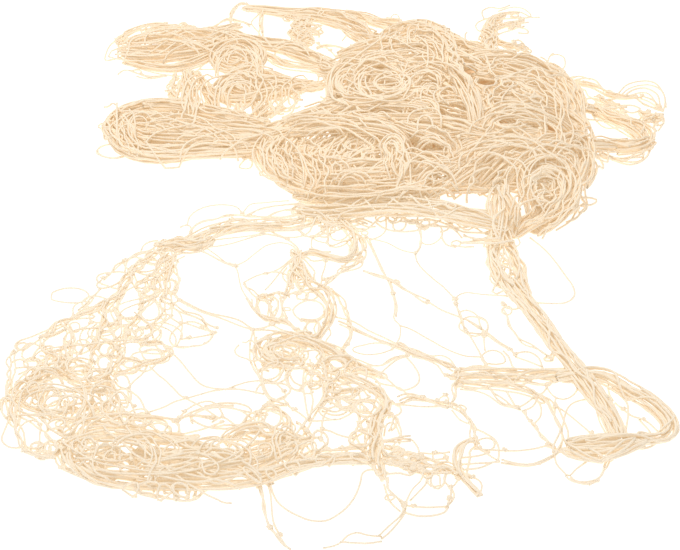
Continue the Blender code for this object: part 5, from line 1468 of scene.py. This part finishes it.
# arcs and folds of the parts that lie on the floor, and the open meshes of the lace
frontArcs = {
    "thick": 0.9,
    "seed": 800,
    "arcs": [
        # front left corner
        (62,405,48,18,15,175,5), (55,400,38,17,190,340,4), (60,402,30,22,-50,50,6),
        (100,392,18,14,20,200,4), (104,400,14,12,-60,100,4), (30,398,22,30,110,230,4),
        (45,375,30,12,10,160,5),
        # folded band along the front
        (130,455,60,38,30,150,5), (78,455,14,17,90,270,5), (112,456,22,20,60,260,3),
        (138,452,22,22,-60,90,4), (170,440,100,44,200,340,6), (180,472,50,14,10,170,3),
        (170,462,40,12,180,360,2), (205,452,40,16,30,150,3), (228,456,30,20,0,140,5),
        (285,440,12,20,60,220,4), (250,436,30,12,10,170,5),
        # middle cluster
        (285,350,27,14,100,260,5), (290,346,36,10,20,160,4), (290,356,28,9,190,350,4),
        (285,353,14,5,0,400,2), (330,372,30,16,20,120,4), (355,395,28,18,10,110,4),
        (318,385,12,26,-40,60,4), (345,385,22,12,180,330,4), (386,425,15,20,-60,70,2),
    ],
    "meshSeed": 810,
    "meshes": [
        # far left edge
        (113,279,12,7), (132,263,7,5), (148,267,9,5), (156,258,8,4), (128,300,9,17), (150,312,10,9),
        (150,293,4,4), (165,298,7,6), (143,286,6,4), (112,318,6,6), (95,316,5,4), (95,301,9,4),
        (165,272,5,4), (172,262,4,4), (160,284,5,4), (172,286,4,5), (168,253,5,3), (55,344,12,9),
        (66,351,4,4), (82,346,7,5), (107,337,6,4), (105,347,9,6), (120,332,7,5), (134,331,6,5),
        (148,334,8,6), (165,335,13,9), (192,334,15,11), (130,344,9,4), (114,354,5,5), (150,356,12,5),
        (130,366,9,5), (154,348,9,4), (145,365,8,4), (78,364,9,5), (78,373,9,4), (96,376,6,5),
        (90,385,5,3), (104,362,5,6), (122,384,7,5), (52,360,5,4), (42,362,4,4), (33,364,5,4),
        (33,353,8,7),
        # round the front left corner
        (33,374,5,3), (33,388,4,3), (45,385,5,3), (22,387,4,6), (50,399,9,8), (36,402,5,5), (69,401,5,3),
        (47,413,4,3), (62,409,4,2), (8,408,5,9), (14,420,4,4), (28,433,10,10), (57,424,6,4), (65,428,6,4),
        (55,434,7,4), (36,448,5,4), (52,447,5,4), (41,454,6,3), (60,443,4,3), (78,447,5,4), (102,409,5,5),
        (111,407,7,6), (120,400,6,6), (122,419,8,4), (140,420,8,5), (155,428,11,5), (98,455,8,4),
        (110,459,5,3), (90,444,6,3), (116,450,4,3), (127,460,6,3), (130,469,7,2), (210,467,7,4),
        (196,466,4,3), (165,491,6,5), (181,490,6,5), (150,488,10,4), (130,487,6,3), (266,448,5,4),
        (290,448,5,4), (306,450,7,6), (236,448,5,3), (222,417,26,8), (271,422,13,11),
        # middle cluster and the twist below it
        (266,306,8,9), (277,308,5,11), (312,328,6,6), (248,350,10,8), (276,348,7,3), (290,347,5,3),
        (275,356,7,2), (270,363,7,3), (296,362,6,3), (310,356,7,5), (272,374,10,7), (298,378,9,10),
        (273,392,12,8), (334,364,7,5), (331,374,7,4), (352,368,5,6), (359,373,7,4), (313,378,5,5),
        (308,386,5,4), (318,370,4,4), (328,381,4,3), (334,388,5,4), (348,393,9,4), (363,394,8,4),
        (346,402,7,3), (330,404,9,5), (336,411,12,6), (367,408,9,7), (388,424,6,6), (391,435,7,7),
        (360,438,9,7), (392,450,8,4), (394,457,7,3), (360,457,7,2), (325,457,7,2), (320,442,6,7),
    ],
}
floorTop = topMap(floorTop)
loose = arcTwines(frontArcs["arcs"], floorTop, frontArcs["seed"])
loose += meshTwines(frontArcs["meshes"], floorTop, frontArcs["meshSeed"])
twineMesh("frontArcs", loose, [], frontLook, frontArcs["thick"])

# a low shell standing for the twines deep in the heap, open where the floor shows through; its darker,
# oranger colour is painted shade of the hollows
heartSetup = {
    "depth": 0.014,              # under the mound
    "side": 0.74,                # shares of the mound that it covers
    "back": 0.62,
    "front": 0.64,
    "sides": 96,
    "rounds": 30,
    "clear": (3, 4),             # how much wider and higher than a parting its opening is
}


def heartMesh(setup):
    sides, rounds = setup["sides"], setup["rounds"]
    spots = [(mound["middle"][0], mound["middle"][1], mound["height"] - setup["depth"])]
    for out in [(k + 1) / rounds for k in range(rounds)]:
        for angle in [2 * math.pi * k / sides for k in range(sides)]:
            end = ("reachBack", "back") if math.sin(angle) > 0 else ("reachFront", "front")
            reach = mound[end[0]] * setup[end[1]]
            x = mound["middle"][0] + out * mound["halfWide"] * setup["side"] * math.cos(angle)
            y = mound["middle"][1] + out * reach * math.sin(angle)
            spots.append((x, y, max(0.0008, float(moundHeight(np.array(x), np.array(y))) - setup["depth"])))
    right, down, scale = onBoard(np.array(spots))
    faces = [(0, 1 + k, 1 + (k + 1) % sides) for k in range(sides)]
    for start in range(1, (rounds - 1) * sides + 1, sides):
        for k in range(sides):
            a, b = start + k, start + (k + 1) % sides
            face = [a, a + sides, b + sides, b]
            seen = np.mean(right[face]), np.mean(down[face])
            if not any(clear and math.hypot((seen[0] - x) / (halfWide + setup["clear"][0]),
                                            (seen[1] - y) / (halfHigh + setup["clear"][1])) < 1
                       for x, y, halfWide, halfHigh, clear in partingSetup["spots"]):
                faces.append(face)
    mesh = bpy.data.meshes.new("heart")
    mesh.from_pydata(spots, [], faces)
    mesh.uv_layers.new(name="lay")
    return mesh


netPiece("heart", heartMesh(heartSetup), heartPaintedShadeLook)
print("heart of the heap made")

studio = {
    "floorReach": 6,
    "floorTone": (0.6, 0.6, 0.6, 1),
    "white": (1.0, 1.0, 1.0, 1),
    "floorGlow": 0.75,           # for light that bounces off a burnt-out white table
    "skyGlow": 0.55,
    "lamps": {
        "axisLamp": dict(spot=(-0.035, -3.2, 1.9), size=1.25, power=14),
        "keyLamp": dict(spot=(-0.35, 0.35, 2.0), size=1.2, power=21),
    },
}
reach = studio["floorReach"]
floorMesh = bpy.data.meshes.new("studioFloor")
corners = [(-reach, -reach, 0), (reach, -reach, 0), (reach, reach, 0), (-reach, reach, 0)]
floorMesh.from_pydata(corners, [], [(0, 1, 2, 3)])
floorLook, floorShader = newLook("studioWhite")
setInputs(floorLook, floorShader, {
    "Base Color": studio["floorTone"],
    "Roughness": 1.0,
    "Specular IOR Level": 0.0,
    "Emission Color": studio["white"],
    "Emission Strength": studio["floorGlow"],
})
floorMesh.materials.append(floorLook)
floor = bpy.data.objects.new("studioFloor", floorMesh)
bpy.context.scene.collection.objects.link(floor)

world = bpy.data.worlds.new("studio")
world.use_nodes = True
sky = world.node_tree.nodes["Background"]
setInputs(world, sky, {"Color": studio["white"], "Strength": studio["skyGlow"]})
bpy.context.scene.world = world

for label, lamp in studio["lamps"].items():
    light = bpy.data.lights.new(label, "AREA")
    light.size = lamp["size"]
    light.energy = lamp["power"]
    lampObject = bpy.data.objects.new(label, light)
    lampObject.location = lamp["spot"]
    x, y, z = lamp["spot"]
    lampObject.rotation_euler = (math.atan2(math.hypot(x, y), z), 0, math.atan2(-y, -x) - math.pi / 2)
    bpy.context.scene.collection.objects.link(lampObject)
print("floor, sky and lamps set")

cameraData = bpy.data.cameras.new("eye")
cameraData.lens = eyeSetup["lens"]
cameraData.sensor_width = eyeSetup["sensor"]
cameraData.clip_end = 50
camera = bpy.data.objects.new("eye", cameraData)
camera.location = eyeSpot
camera.rotation_euler = (math.pi / 2 - pitch, 0, 0)
bpy.context.scene.collection.objects.link(camera)
bpy.context.scene.camera = camera
bpy.context.scene.view_settings.view_transform = "Standard"
print("camera set")
